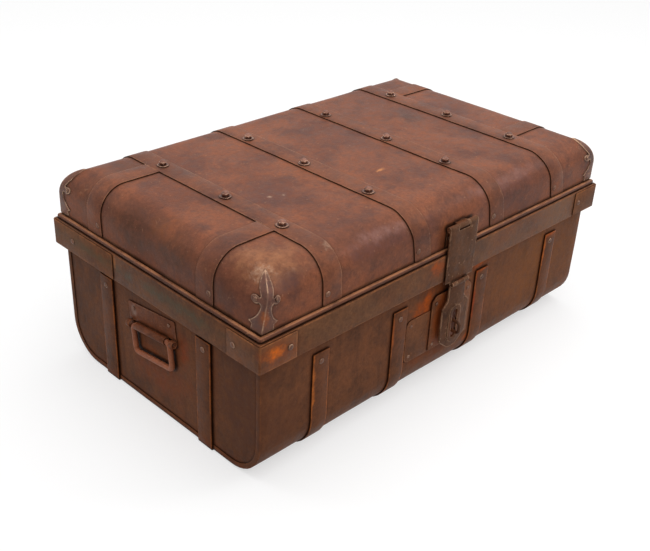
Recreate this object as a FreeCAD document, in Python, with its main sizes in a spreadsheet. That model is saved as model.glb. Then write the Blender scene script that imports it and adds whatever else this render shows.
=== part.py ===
import FreeCAD, Part
import Sketcher
import math
import os
import sys
from FreeCAD import Placement, Rotation, Vector

# Sheet-steel trunk with a low domed lid, iron hoops, a folded rim band, a slotted hasp and two
# drop handles. Millimetres. +X runs along the trunk to its right end, +Y to its back, +Z up.
# The origin is the middle of the footprint, on the floor.

os.makedirs("parts", exist_ok=True)
doc = FreeCAD.newDocument("dome_top_trunk")

# ------------------------------------------------------------------ driving dimensions
DIMENSIONS = [
    ("rim_length", 760.0, "outer length of the rim band"),
    ("rim_depth", 465.0, "outer depth of the rim band"),
    ("rim_height", 234.0, "floor to the ledge of the rim band"),
    ("rim_drop", 43.0, "height of the rim band's skirt"),
    ("rim_thick", 2.0, "iron of the rim band"),
    ("rim_bend", 2.0, "outer radius of the rim band's top fold"),
    ("wall_inset", 11.5, "outside of the rim band to outside of the body wall"),
    ("lid_inset", 9.0, "outside of the rim band to outside of the lid wall"),
    ("sheet_thick", 1.0, "steel sheet of body and lid"),
    ("wall_lip", 8.0, "body wall above the ledge, inside the lid"),
    ("body_round", 58.0, "outer radius of the body's lower front and back corners"),
    ("hem_width", 8.0, "fold of the body wrap over an end panel"),
    ("flange_depth", 14.0, "flange of an end panel, inside the wrap"),
    ("lid_rise", 82.0, "ledge of the rim to the top of the lid sheet"),
    ("lid_round", 42.0, "outer radius of the lid's rolled edges"),
    ("bead_radius", 3.5, "wired edge round the lid's mouth"),
    ("bead_set", 1.0, "how far the wired edge is set into the line of the wall"),
    ("seam_gap", 0.1, "between pieces fixed to each other"),
    ("moving_gap", 0.4, "between pieces that move on each other"),
    ("pin_clearance", 0.06, "radial clearance of a pin in its knuckle"),
    ("hoop_thick", 2.5, "iron of the body hoops and end straps"),
    ("hoop_width", 30.0, "width of the body hoops and end straps"),
    ("hoop_bend", 3.0, "outer radius where an end strap turns under"),
    ("hoop_drop", 64.0, "ledge down to the ends of the body hoops"),
    ("end_hoop_drop", 56.0, "ledge down to the tops of the end straps"),
    ("end_hoop_foot", 46.0, "length of an end strap under the bottom"),
    ("hoop_one", -262.0, "body hoop centre along X, set out by hand"),
    ("hoop_two", -103.0, "body hoop centre along X"),
    ("hoop_three", 88.0, "body hoop centre along X"),
    ("hoop_four", 276.0, "body hoop centre along X"),
    ("end_hoop_front", -108.0, "front end strap of the body, centre along Y"),
    ("end_hoop_back", 117.0, "back end strap of the body, centre along Y"),
    ("strap_thick", 1.6, "iron of the lid straps"),
    ("strap_width", 34.0, "width of the lid straps"),
    ("strap_pitch", 168.0, "spacing of the four lid straps"),
    ("strap_end", 9.0, "ledge up to the ends of the lid straps"),
    ("strap_set_two", 3.0, "second strap off its even spacing, set out by hand"),
    ("strap_set_three", 9.5, "third strap off its even spacing"),
    ("strap_lean_start", 6.0, "top of a strap down to where its front foot begins to lean"),
    ("strap_lean_one", 3.0, "lean of the first strap's front foot, towards +X at its end"),
    ("strap_lean_two", 13.0, "lean of the second strap's front foot"),
    ("strap_lean_three", 14.0, "lean of the third strap's front foot"),
    ("strap_lean_four", 19.0, "lean of the fourth strap's front foot"),
    ("lid_end_front", -116.0, "front end strap of the lid, centre along Y"),
    ("lid_end_back", 133.0, "back end strap of the lid, centre along Y"),
    ("corner_thick", 1.2, "iron of the corner plates"),
    ("corner_bend", 2.5, "outer radius of a rim corner plate's fold"),
    ("rim_corner_leg", 62.0, "leg of a rim corner plate"),
    ("rim_corner_long", 152.0, "end leg of a back rim corner plate"),
    ("rim_corner_margin", 1.0, "edge of the skirt to the edge of a corner plate"),
    ("leaf_foot", 10.0, "ledge up to the foot of a lid corner leaf"),
    ("leaf_tip", 80.5, "ledge up to the tip of a lid corner leaf"),
    ("leaf_belly", 9.6, "half width of a leaf's blade, across the corner"),
    ("leaf_flare", 18.0, "half width of a leaf's flared foot, across the corner"),
    ("leaf_ear", 5.0, "radius of a leaf's riveted ears"),
    ("leaf_ear_side", 13.5, "corner to the middle of an ear, across the corner"),
    ("leaf_ear_up", 50.5, "ledge up to the middle of an ear"),
    ("leaf_notch", 7.6, "half width of a leaf between its blade and its ears"),
    ("leaf_waist", 6.8, "half width of a leaf below its ears"),
    ("leaf_flare_up", 20.6, "ledge up to where a leaf's foot is widest"),
    ("leaf_nick", 13.7, "half width of a leaf just below its flare"),
    ("leaf_base", 14.4, "half width of a leaf's lower edge"),
    ("stud_row", 130.0, "front and back rows of lid studs, from the middle"),
    ("stud_set_two", -2.0, "studs of the second strap off the even spacing along X"),
    ("stud_set_three", 3.0, "studs of the third strap off the even spacing along X"),
    ("stud_middle_one", -14.0, "middle stud of the first strap along Y, set out by hand"),
    ("stud_middle_two", 2.0, "middle stud of the second strap along Y"),
    ("stud_middle_three", -8.0, "middle stud of the third strap along Y"),
    ("stud_middle_four", 1.0, "middle stud of the fourth strap along Y"),
    ("washer_radius", 8.5, "washer under a lid stud"),
    ("washer_thick", 1.6, "washer under a lid stud"),
    ("stud_radius", 5.8, "head of a lid stud, across its corners"),
    ("stud_rise", 4.4, "flats of a lid stud's head"),
    ("stud_dome", 3.0, "dome on a lid stud's head"),
    ("stud_dome_radius", 5.0, "dome on a lid stud's head, just inside its flats"),
    ("rivet_radius", 4.5, "rivet heads of hoops, straps and rim"),
    ("rivet_rise", 2.0, "rivet heads of hoops, straps and rim"),
    ("small_rivet_radius", 3.0, "rivet heads of hinges, hasp, handles and leaves"),
    ("small_rivet_rise", 1.5, "rivet heads of hinges, hasp, handles and leaves"),
    ("hoop_rivet_inset", 15.0, "end of a hoop to its rivet"),
    ("strap_rivet_inset", 16.0, "end of a lid strap to its rivet"),
    ("strap_rivet_side", 9.0, "middle of a lid strap to its rivet, towards -X or -Y"),
    ("rim_rivet_side", 50.0, "corner of the rim to the rivets of its plate"),
    ("hinge_spacing", 400.0, "between the two back hinges"),
    ("hinge_width", 50.0, "width of a back hinge"),
    ("hinge_thick", 2.0, "iron of the back hinges"),
    ("hinge_axis_out", 6.5, "outside of the rim band out to the hinge pin"),
    ("hinge_axis_up", 4.0, "ledge up to the hinge pin"),
    ("hinge_knuckle", 5.0, "outer radius of a back hinge's knuckles"),
    ("hinge_middle", 20.0, "length of the lid leaf's knuckle"),
    ("hinge_leaf_drop", 34.0, "ledge down to the foot of the body leaf"),
    ("hinge_leaf_rise", 36.0, "ledge up to the top of the lid leaf"),
    ("hinge_rivet_up", 24.0, "ledge up to the rivets of the lid leaf"),
    ("pin_radius", 2.0, "pins of hinges and hasp"),
    ("hasp_side", 10.0, "middle of hasp and staple along X"),
    ("hasp_width", 64.0, "width of the hasp's upper leaf"),
    ("hasp_thick", 2.5, "iron of the hasp's leaf and link"),
    ("hasp_stand_off", 0.8, "outside of the rim band to the back of the hasp"),
    ("hasp_axis_up", 40.0, "ledge up to the hasp's upper pin"),
    ("hasp_knuckle", 4.3, "outer radius of the hasp's upper knuckles"),
    ("hasp_middle", 24.0, "length of the fixed plate's knuckle"),
    ("hasp_plate_width", 56.0, "plate that carries the hasp on the lid"),
    ("hasp_rivet_up", 24.0, "ledge up to the rivets of that plate"),
    ("link_axis_down", 52.0, "ledge down to the hasp's lower pin"),
    ("link_knuckle", 4.0, "outer radius of the hasp's lower knuckles"),
    ("link_neck", 38.0, "width of the link's neck"),
    ("link_middle", 18.0, "length of the link's knuckle"),
    ("link_width", 61.0, "width of the slotted link"),
    ("link_shoulder", 40.5, "lower pin down to the link's full width"),
    ("link_taper", 98.0, "lower pin down to the start of the link's taper"),
    ("link_length", 115.0, "lower pin down to the link's tip"),
    ("link_tip", 18.0, "width of the link's tip"),
    ("link_corner", 5.0, "rounding of the link's outline"),
    ("slot_width", 12.0, "slot of the link"),
    ("slot_height", 50.0, "slot of the link"),
    ("slot_middle", 73.5, "lower pin down to the middle of the slot"),
    ("slot_rim", 8.0, "raised rim round the slot"),
    ("slot_rim_rise", 1.2, "raised rim round the slot"),
    ("staple_wire", 2.5, "radius of the staple's rod"),
    ("staple_pitch", 18.0, "between the staple's legs"),
    ("staple_middle", 130.5, "ledge down to the middle of the staple"),
    ("staple_reach", 15.0, "outside of the rim band out to the staple's front bar"),
    ("staple_bend", 5.0, "bend of the staple, at the middle of the rod"),
    ("staple_plate_width", 93.0, "plate that carries the staple"),
    ("staple_plate_side", 4.5, "staple to the middle of its plate along X"),
    ("staple_plate_top", 71.0, "ledge down to the top of the staple plate"),
    ("staple_plate_foot", 164.0, "ledge down to the foot of the staple plate"),
    ("staple_plate_thick", 2.0, "plate that carries the staple"),
    ("staple_plate_cut", 9.0, "clipped upper corners of the staple plate"),
    ("staple_rivet_inset", 9.0, "side and lower edges of the staple plate to its rivets"),
    ("staple_rivet_drop", 13.0, "top of the staple plate down to its upper rivets"),
    ("backing_left", -86.0, "left edge of the lock's backing plate along X"),
    ("backing_right", 62.0, "right edge of the lock's backing plate along X"),
    ("backing_top", 93.0, "ledge down to the top of the backing plate"),
    ("backing_foot", 166.0, "ledge down to the foot of the backing plate"),
    ("backing_thick", 1.5, "lock's backing plate"),
    ("backing_corner", 11.0, "corner radius of the backing plate"),
    ("backing_rivet_inset", 10.0, "edges of the backing plate to its rivets"),
    ("handle_axis_down", 100.0, "ledge down to the pivot of a handle"),
    ("handle_side", 6.0, "handle's middle along Y"),
    ("left_handle_tilt", 7.0, "degrees that the left handle sits out of level"),
    ("rod_radius", 4.0, "rod of a handle's bail"),
    ("bail_bend", 7.0, "bend of the bail, at the middle of the rod"),
    ("bail_drop", 43.0, "pivot down to the middle of the bail's grip"),
    ("roll_length", 72.0, "rolled part of a handle's clip"),
    ("clip_width", 110.0, "width of a handle's clip"),
    ("clip_rise", 34.0, "pivot up to the top of a clip"),
    ("clip_thick", 1.6, "iron of a handle's clip"),
    ("clip_corner", 3.0, "rounded upper corners of a clip"),
    ("clip_rivet_side", 42.0, "middle of a clip to its rivets"),
    ("clip_rivet_up", 25.0, "pivot up to a clip's rivets"),
]

dims = doc.addObject("Spreadsheet::Sheet", "dims")
for row, (alias, value, meaning) in enumerate(DIMENSIONS, start=1):
    dims.set(f"A{row}", meaning)
    dims.set(f"B{row}", str(value))
    dims.setAlias(f"B{row}", alias)
doc.recompute()


def D(text):
    """Name cells of the sheet in an expression: a word stands for the cell of that alias."""
    words = text.replace("(", "( ").replace(")", " )").split()
    aliases = {alias for alias, _value, _meaning in DIMENSIONS}
    return "(" + " ".join(f"dims.{w}" if w in aliases else w for w in words) + ")"


def value(expression):
    """The number that an expression gives."""
    return float(dims.evalExpression(expression))


# Places that many pieces share, as expressions.
RIM_X = D("rim_length / 2")
RIM_Y = D("rim_depth / 2")
LEDGE = D("rim_height")
SKIRT_FOOT = D("rim_height - rim_drop")
BODY_X = D("rim_length / 2 - wall_inset")
BODY_Y = D("rim_depth / 2 - wall_inset")
BODY_FOOT = D("hoop_thick + seam_gap")
BODY_TOP = D("rim_height + wall_lip")
LID_X = D("rim_length / 2 - lid_inset")
LID_Y = D("rim_depth / 2 - lid_inset")
LID_FOOT = D("rim_height + moving_gap")
LID_TOP = D("rim_height + lid_rise")
PANEL_X = D("rim_length / 2 - wall_inset - sheet_thick - seam_gap")
BEYOND = "50"  # how far a cutting block runs past what it cuts
LAP = "1"  # how far two boxes of one piece run into each other


# ------------------------------------------------------------------ ways of making a piece
sub_parts = []


def sub_part(item, name):
    """Name a finished piece of the trunk and keep it for the export."""
    item.Label = name
    sub_parts.append(item)
    return item


def both(expression):
    """A stretch that is centred on the origin."""
    return (f"-({expression})", expression)


def place(item, x, y, z):
    """Tie a piece's place to the sheet."""
    for axis, expression in zip("xyz", (x, y, z)):
        item.setExpression(f"Placement.Base.{axis}", str(expression))
    return item


def body(name):
    return doc.addObject("PartDesign::Body", name)


def box(owner, name, x, y, z, kind="Additive"):
    """Add or cut a box between the pairs of expressions x, y and z."""
    item = owner.newObject(f"PartDesign::{kind}Box", f"{owner.Name}_{name}")
    for side, (low, high) in zip(("Length", "Width", "Height"), (x, y, z)):
        item.setExpression(side, f"({high}) - ({low})")
    return place(item, x[0], y[0], z[0])


def rod(owner, name, radius, start, length, along="z", kind="Additive"):
    """Add or cut a cylinder from its start point along +X, +Y or +Z."""
    item = owner.newObject(f"PartDesign::{kind}Cylinder", f"{owner.Name}_{name}")
    item.setExpression("Radius", radius)
    item.setExpression("Height", length)
    item.Placement = Placement(Vector(), TURNS[along])
    return place(item, *start)


TURNS = {
    "z": Rotation(),
    "x": Rotation(Vector(0, 1, 0), 90),
    "y": Rotation(Vector(1, 0, 0), -90),
    "-x": Rotation(Vector(0, 1, 0), -90),
    "-y": Rotation(Vector(1, 0, 0), 90),
}


def edge_names(shape, chosen):
    """The edges whose bounding box passes a test."""
    doc_edges = enumerate(shape.Edges, start=1)
    return [f"Edge{number}" for number, edge in doc_edges if chosen(edge.BoundBox)]


def fillet(owner, name, radius, chosen):
    """Round the chosen edges of what the body holds so far."""
    doc.recompute()
    before = owner.Tip
    item = owner.newObject("PartDesign::Fillet", f"{owner.Name}_{name}")
    item.Base = (before, edge_names(before.Shape, chosen))
    item.setExpression("Radius", radius)
    return item


def chamfer(owner, name, size, chosen):
    """Clip the chosen edges of what the body holds so far."""
    doc.recompute()
    before = owner.Tip
    item = owner.newObject("PartDesign::Chamfer", f"{owner.Name}_{name}")
    item.Base = (before, edge_names(before.Shape, chosen))
    item.setExpression("Size", size)
    return item


def near(a, b):
    return abs(a - b) < 1e-4


def towards(sign, near_side, far_side):
    """A stretch on the plus side of the middle, or its mirror image where the sign is "-"."""
    return (near_side, far_side) if sign == "" else (f"-({far_side})", f"-({near_side})")


def flat_at(level):
    """Edges that lie level at a height."""
    return lambda edge: near(edge.ZMin, value(level)) and near(edge.ZMax, value(level))


def flat_along(level, axis):
    """Edges that lie at a height and run along X or Y."""
    at_level = flat_at(level)
    return lambda edge: at_level(edge) and (edge.XLength if axis == "x" else edge.YLength) > 1


def upright(edge):
    return edge.ZLength > 1 and near(edge.XLength, 0) and near(edge.YLength, 0)


def through_y(edge):
    return edge.YLength > 1 and near(edge.XLength, 0) and near(edge.ZLength, 0)


def through_x(edge):
    return edge.XLength > 1 and near(edge.YLength, 0) and near(edge.ZLength, 0)


def rounded_block(name, x, y, z, radius, chosen):
    """A block with some of its edges rounded, to stand by itself or to be cut from another."""
    owner = body(name)
    box(owner, "block", x, y, z)
    fillet(owner, "round", radius, chosen)
    return owner


def cut(name, base, tool):
    item = doc.addObject("Part::Cut", name)
    item.Base = base
    item.Tool = tool
    return item


def group(name, items):
    """Like pieces that share one name, each a solid of its own."""
    item = doc.addObject("Part::Compound", name)
    item.Links = items
    return sub_part(item, name)


def head(name, radius, rise, x, y, z, facing):
    """A low domed head, the cap of a ball, on a surface; facing is a key of TURNS or a direction."""
    item = doc.addObject("Part::Sphere", name)
    item.setExpression("Radius", f"({radius} ^ 2 + {rise} ^ 2) / (2 * {rise})")
    item.setExpression("Angle1", f"90 deg - 2 * atan({rise} / {radius})")
    sunk = f"({radius} ^ 2 - {rise} ^ 2) / (2 * {rise})"
    turn = TURNS[facing] if isinstance(facing, str) else Rotation(Vector(0, 0, 1), facing)
    item.Placement = Placement(Vector(), turn)
    out = turn.multVec(Vector(0, 0, 1))
    return place(item, *(f"{at} - ({way:.9f}) * {sunk}" for at, way in zip((x, y, z), out)))


def big_head(name, x, y, z, facing):
    return head(name, D("rivet_radius"), D("rivet_rise"), x, y, z, facing)


def small_head(name, x, y, z, facing):
    return head(name, D("small_rivet_radius"), D("small_rivet_rise"), x, y, z, facing)


# ------------------------------------------------------------------ body: wrap and end panels
# The wrap is one sheet, bent up at front and back, with its ends folded over the end panels.
tub = rounded_block(
    "wrap_tub", both(BODY_X), both(BODY_Y), (BODY_FOOT, BODY_TOP),
    D("body_round"), flat_along(BODY_FOOT, "x"),
)
INSIDE_FOOT = D("hoop_thick + seam_gap + sheet_thick")
tub_inside = rounded_block(
    "wrap_inside", both(D("rim_length / 2 - wall_inset - sheet_thick")),
    both(D("rim_depth / 2 - wall_inset - sheet_thick")), (INSIDE_FOOT, f"{BODY_TOP} + {BEYOND}"),
    D("body_round - sheet_thick"), flat_along(INSIDE_FOOT, "x"),
)
HEM_FOOT = D("hoop_thick + seam_gap + hem_width")
hem_opening = rounded_block(
    "wrap_hem_opening", both(f"{BODY_X} + {BEYOND}"),
    both(D("rim_depth / 2 - wall_inset - hem_width")), (HEM_FOOT, f"{BODY_TOP} + {BEYOND}"),
    D("body_round - hem_width"), flat_along(HEM_FOOT, "x"),
)
hollow_tub = cut("wrap_hollow", tub, tub_inside)
sub_part(cut("body_wrap_cut", hollow_tub, hem_opening), "body_wrap")

# Each end panel is a shallow pan: a flat face inside the hem and a flange inside the wrap.
PAN_Y = D("rim_depth / 2 - wall_inset - sheet_thick - seam_gap")
PAN_FOOT = D("hoop_thick + seam_gap + sheet_thick + seam_gap")
PAN_HOLLOW_FOOT = f"{PAN_FOOT} + {D('sheet_thick')}"
for side in ("left", "right"):
    outer_x = (f"-{PANEL_X}", f"-{PANEL_X} + {D('flange_depth')}")
    hollow_x = (f"-{PANEL_X} + {D('sheet_thick')}", f"-{PANEL_X} + {BEYOND}")
    if side == "right":
        outer_x = (f"{PANEL_X} - {D('flange_depth')}", PANEL_X)
        hollow_x = (f"{PANEL_X} - {BEYOND}", f"{PANEL_X} - {D('sheet_thick')}")
    pan = rounded_block(
        f"{side}_pan", outer_x, both(PAN_Y), (PAN_FOOT, BODY_TOP),
        D("body_round - sheet_thick - seam_gap"), flat_along(PAN_FOOT, "x"),
    )
    pan_hollow = rounded_block(
        f"{side}_pan_hollow", hollow_x, both(f"{PAN_Y} - {D('sheet_thick')}"),
        (PAN_HOLLOW_FOOT, f"{BODY_TOP} + {BEYOND}"),
        D("body_round - sheet_thick * 2 - seam_gap"), flat_along(PAN_HOLLOW_FOOT, "x"),
    )
    sub_part(cut(f"{side}_panel_cut", pan, pan_hollow), f"{side}_end_panel")

# ------------------------------------------------------------------ rim band
# Folded angle iron: a level ledge that the lid's bead sits on, and a skirt that hangs from it.
# The front and back strips turn the corners; the end strips butt against them.
INNER_X = f"{BODY_X} + {D('seam_gap')}"
INNER_Y = f"{BODY_Y} + {D('seam_gap')}"
LEDGE_Z = (f"{LEDGE} - {D('rim_thick')}", LEDGE)
SKIRT_Z = (SKIRT_FOOT, LEDGE)
SKIRT_IN_X = f"{RIM_X} - {D('rim_thick')}"
SKIRT_IN_Y = f"{RIM_Y} - {D('rim_thick')}"


def outer_top_edge(edge):
    """The long fold between ledge and skirt."""
    on_front = near(abs(edge.YMin), value(RIM_Y)) and near(edge.YLength, 0)
    on_end = near(abs(edge.XMin), value(RIM_X)) and near(edge.XLength, 0)
    return flat_at(LEDGE)(edge) and (on_front or on_end)


for name, sign in (("rim_front", "-"), ("rim_back", "")):
    strip = body(name)
    ledge_y = towards(sign, INNER_Y, RIM_Y)
    box(strip, "ledge", both(RIM_X), ledge_y, LEDGE_Z)
    box(strip, "skirt", both(RIM_X), towards(sign, SKIRT_IN_Y, RIM_Y), SKIRT_Z)
    box(strip, "left_turn", (f"-{RIM_X}", f"-({SKIRT_IN_X})"), ledge_y, SKIRT_Z)
    box(strip, "right_turn", (SKIRT_IN_X, RIM_X), ledge_y, SKIRT_Z)
    fillet(strip, "fold", D("rim_bend - seam_gap"), outer_top_edge)
    sub_part(strip, name)

for name, sign in (("rim_left", "-"), ("rim_right", "")):
    strip = body(name)
    box(strip, "ledge", towards(sign, INNER_X, RIM_X), both(BODY_Y), LEDGE_Z)
    box(strip, "skirt", towards(sign, SKIRT_IN_X, RIM_X), both(BODY_Y), SKIRT_Z)
    fillet(strip, "fold", D("rim_bend - seam_gap"), outer_top_edge)
    sub_part(strip, name)

# Bent plates wrap the rim's corners; the back ones run further along the ends.
CORNER_Z = (D("rim_height - rim_drop + rim_corner_margin"), D("rim_height - rim_bend"))
PLATE_IN_X = D("rim_length / 2 + seam_gap")
PLATE_IN_Y = D("rim_depth / 2 + seam_gap")
PLATE_OUT_X = D("rim_length / 2 + seam_gap + corner_thick")
PLATE_OUT_Y = D("rim_depth / 2 + seam_gap + corner_thick")
RIM_RIVET_Z = D("rim_height - rim_drop / 2")
LONG_LEG_END = f"({RIM_X} - {D('rim_corner_leg')})"
rim_heads = []


def at_corner(edge):
    """The outer fold of a corner plate."""
    at_x = near(abs(edge.XMin), value(PLATE_OUT_X))
    return upright(edge) and at_x and near(abs(edge.YMin), value(PLATE_OUT_Y))


for depth in ("front", "back"):
    end_leg = D("rim_corner_leg") if depth == "front" else D("rim_corner_long")
    for side in ("left", "right"):
        name = f"rim_corner_{depth}_{side}"
        sx = "-1" if side == "left" else "1"
        sy = "-1" if depth == "front" else "1"
        across_x = sorted((f"{sx} * {PLATE_IN_X}", f"{sx} * {PLATE_OUT_X}"), key=value)
        across_y = sorted((f"{sy} * {PLATE_IN_Y}", f"{sy} * {PLATE_OUT_Y}"), key=value)
        along_x = sorted((f"{sx} * {PLATE_OUT_X}", f"{sx} * {LONG_LEG_END}"), key=value)
        along_y = sorted((f"{sy} * {PLATE_OUT_Y}", f"{sy} * ({RIM_Y} - {end_leg})"), key=value)
        plate = body(name)
        box(plate, "long_leg", along_x, across_y, CORNER_Z)
        box(plate, "end_leg", across_x, along_y, CORNER_Z)
        fillet(plate, "fold", D("corner_bend"), at_corner)
        sub_part(plate, name)
        rivet_x = f"{sx} * ({RIM_X} - {D('rim_rivet_side')})"
        rivet_y = f"{sy} * ({RIM_Y} - {D('rim_rivet_side')})"
        face_x = f"{sx} * ({PLATE_OUT_X} + {D('seam_gap')})"
        face_y = f"{sy} * ({PLATE_OUT_Y} + {D('seam_gap')})"
        long_facing = "-y" if depth == "front" else "y"
        end_facing = "-x" if side == "left" else "x"
        rim_heads.append(big_head(f"{name}_head", rivet_x, face_y, RIM_RIVET_Z, long_facing))
        rim_heads.append(big_head(f"{name}_end_head", face_x, rivet_y, RIM_RIVET_Z, end_facing))
group("rim_rivets", rim_heads)

# ------------------------------------------------------------------ body hoops and end straps
# Hoops run down the front, under the bottom and up the back; end straps turn under the bottom.
HOOP_TOP = D("rim_height - hoop_drop")
END_HOOP_TOP = D("rim_height - end_hoop_drop")
HOOP_INSIDE = D("rim_depth / 2 - wall_inset + seam_gap")
HOOP_OUTSIDE = D("rim_depth / 2 - wall_inset + seam_gap + hoop_thick")
hoop_heads = []
for number, word in enumerate(("one", "two", "three", "four"), start=1):
    middle = D(f"hoop_{word}")
    across = (f"{middle} - {D('hoop_width / 2')}", f"{middle} + {D('hoop_width / 2')}")
    hoop = rounded_block(
        f"hoop_{number}", across, both(HOOP_OUTSIDE), ("0", HOOP_TOP),
        D("body_round + seam_gap + hoop_thick"), flat_along("0", "x"),
    )
    hoop_hollow = rounded_block(
        f"hoop_{number}_hollow", (f"{across[0]} - {BEYOND}", f"{across[1]} + {BEYOND}"),
        both(HOOP_INSIDE), (D("hoop_thick"), f"{HOOP_TOP} + {BEYOND}"),
        D("body_round + seam_gap"), flat_along(D("hoop_thick"), "x"),
    )
    sub_part(cut(f"hoop_{number}_cut", hoop, hoop_hollow), f"body_hoop_{number}")
    for facing, sign in (("-y", "-1"), ("y", "1")):
        hoop_heads.append(big_head(
            f"hoop_{number}_head", middle, f"{sign} * ({HOOP_OUTSIDE} + {D('seam_gap')})",
            f"{HOOP_TOP} - {D('hoop_rivet_inset')}", facing,
        ))

END_INSIDE = D("rim_length / 2 - wall_inset + seam_gap")
END_OUTSIDE = D("rim_length / 2 - wall_inset + seam_gap + hoop_thick")


def at_turn(edge):
    """The outer edge where an end strap turns under the bottom."""
    return flat_along("0", "y")(edge) and near(abs(edge.XMin), value(END_OUTSIDE))


for side, sx, facing in (("left", "-1", "-x"), ("right", "1", "x")):
    for depth in ("front", "back"):
        middle = D(f"end_hoop_{depth}")
        across = (f"{middle} - {D('hoop_width / 2')}", f"{middle} + {D('hoop_width / 2')}")
        inner = f"{sx} * ({END_OUTSIDE} - {D('end_hoop_foot')})"
        wall = sorted((f"{sx} * {END_INSIDE}", f"{sx} * {END_OUTSIDE}"), key=value)
        foot = sorted((inner, f"{sx} * {END_OUTSIDE}"), key=value)
        strap = body(f"{side}_end_hoop_{depth}")
        box(strap, "leg", wall, across, ("0", END_HOOP_TOP))
        box(strap, "foot", foot, across, ("0", D("hoop_thick")))
        fillet(strap, "turn", D("hoop_bend"), at_turn)
        sub_part(strap, strap.Name)
        hoop_heads.append(big_head(
            f"{strap.Name}_head", f"{sx} * ({END_OUTSIDE} + {D('seam_gap')})", middle,
            f"{END_HOOP_TOP} - {D('hoop_rivet_inset')}", facing,
        ))
group("body_hoop_rivets", hoop_heads)

# ------------------------------------------------------------------ lid sheet and wired edge
lid_outside = rounded_block(
    "lid_outside", both(LID_X), both(LID_Y), (LID_FOOT, LID_TOP), D("lid_round"), flat_at(LID_TOP),
)
LID_CEILING = D("rim_height + lid_rise - sheet_thick")
lid_inside = rounded_block(
    "lid_inside", both(f"{LID_X} - {D('sheet_thick')}"), both(f"{LID_Y} - {D('sheet_thick')}"),
    (f"{LID_FOOT} - {BEYOND}", LID_CEILING), D("lid_round - sheet_thick"), flat_at(LID_CEILING),
)
sub_part(cut("lid_shell_cut", lid_outside, lid_inside), "lid_shell")

# The sheet's edge is rolled outwards round a wire; wire and roll are one round bead here.
BEAD_X = D("rim_length / 2 - lid_inset + bead_radius - bead_set")
BEAD_Y = D("rim_depth / 2 - lid_inset + bead_radius - bead_set")
BEAD_Z = D("rim_height + moving_gap + bead_radius")
bead_pieces = []
for sign in ("-", ""):
    long_run = doc.addObject("Part::Cylinder", "bead_long")
    long_run.Placement = Placement(Vector(), TURNS["x"])
    long_run.setExpression("Height", f"2 * {BEAD_X}")
    place(long_run, f"-{BEAD_X}", f"{sign}{BEAD_Y}", BEAD_Z)
    end_run = doc.addObject("Part::Cylinder", "bead_end")
    end_run.Placement = Placement(Vector(), TURNS["y"])
    end_run.setExpression("Height", f"2 * {BEAD_Y}")
    place(end_run, f"{sign}{BEAD_X}", f"-{BEAD_Y}", BEAD_Z)
    bead_pieces += [long_run, end_run]
    for other in ("-", ""):
        turn = doc.addObject("Part::Sphere", "bead_turn")
        place(turn, f"{sign}{BEAD_X}", f"{other}{BEAD_Y}", BEAD_Z)
        bead_pieces.append(turn)
for piece in bead_pieces:
    piece.setExpression("Radius", D("bead_radius"))
bead = doc.addObject("Part::MultiFuse", "bead")
bead.Shapes = bead_pieces
SEAT_X = f"({LID_X} + {D('seam_gap')})"
SEAT_Y = f"({LID_Y} + {D('seam_gap')})"
bead_seat = doc.addObject("Part::Box", "bead_seat")
bead_seat.setExpression("Length", f"2 * {SEAT_X}")
bead_seat.setExpression("Width", f"2 * {SEAT_Y}")
bead_seat.setExpression("Height", f"2 * {BEYOND}")
place(bead_seat, f"-{SEAT_X}", f"-{SEAT_Y}", f"{BEAD_Z} - {BEYOND}")
sub_part(cut("bead_cut", bead, bead_seat), "lid_wired_edge")

# ------------------------------------------------------------------ lid straps
# Straps run over the lid from front to back; end straps run out from them and down the ends.
STRAP_FOOT = D("rim_height + strap_end")
STRAP_TOP = D("rim_height + lid_rise + seam_gap + strap_thick")
STRAP_UNDER = D("rim_height + lid_rise + seam_gap")
STRAP_OUT_Y = D("rim_depth / 2 - lid_inset + seam_gap + strap_thick")
STRAP_IN_Y = D("rim_depth / 2 - lid_inset + seam_gap")
STRAP_OUT_X = D("rim_length / 2 - lid_inset + seam_gap + strap_thick")
STRAP_IN_X = D("rim_length / 2 - lid_inset + seam_gap")
STRAP_RIVET_Z = D("rim_height + strap_end + strap_rivet_inset")
LEAN_START = D("rim_height + lid_rise + seam_gap + strap_thick - strap_lean_start")
ROLL_START = D("rim_depth / 2 - lid_inset - lid_round")
RIVET_SIDE = D("strap_rivet_side")
strap_words = ("one", "two", "three", "four")
strap_middles = [
    D("strap_pitch * -1.5"),
    D("strap_pitch * -0.5 + strap_set_two"),
    D("strap_pitch * 0.5 + strap_set_three"),
    D("strap_pitch * 1.5"),
]


def strap_outline(name, across, lean):
    """The outline of a strap: straight over the top and the back, its front foot leaning."""
    straight = body(f"{name}_straight")
    above = f"{STRAP_TOP} + {BEYOND}"
    box(straight, "top", across, both(f"{STRAP_OUT_Y} + {BEYOND}"), (LEAN_START, above))
    back = (f"-{ROLL_START}", f"{STRAP_OUT_Y} + {BEYOND}")
    box(straight, "back", across, back, (f"{STRAP_FOOT} - {BEYOND}", above))
    foot = doc.addObject("Part::Wedge", f"{name}_foot")
    ends = (("Xmin", f"{across[0]} + {lean}"), ("Xmax", f"{across[1]} + {lean}"),
            ("X2min", across[0]), ("X2max", across[1]), ("Ymin", STRAP_FOOT), ("Ymax", LEAN_START))
    for side, expression in ends:
        foot.setExpression(side, expression)
    for side in ("Zmin", "Z2min"):
        foot.setExpression(side, ROLL_START)
    for side in ("Zmax", "Z2max"):
        foot.setExpression(side, f"{STRAP_OUT_Y} + {BEYOND}")
    foot.Placement = Placement(Vector(), TURNS["-y"])
    outline = doc.addObject("Part::Fuse", f"{name}_outline")
    outline.Base = straight
    outline.Tool = foot
    return outline


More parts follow.
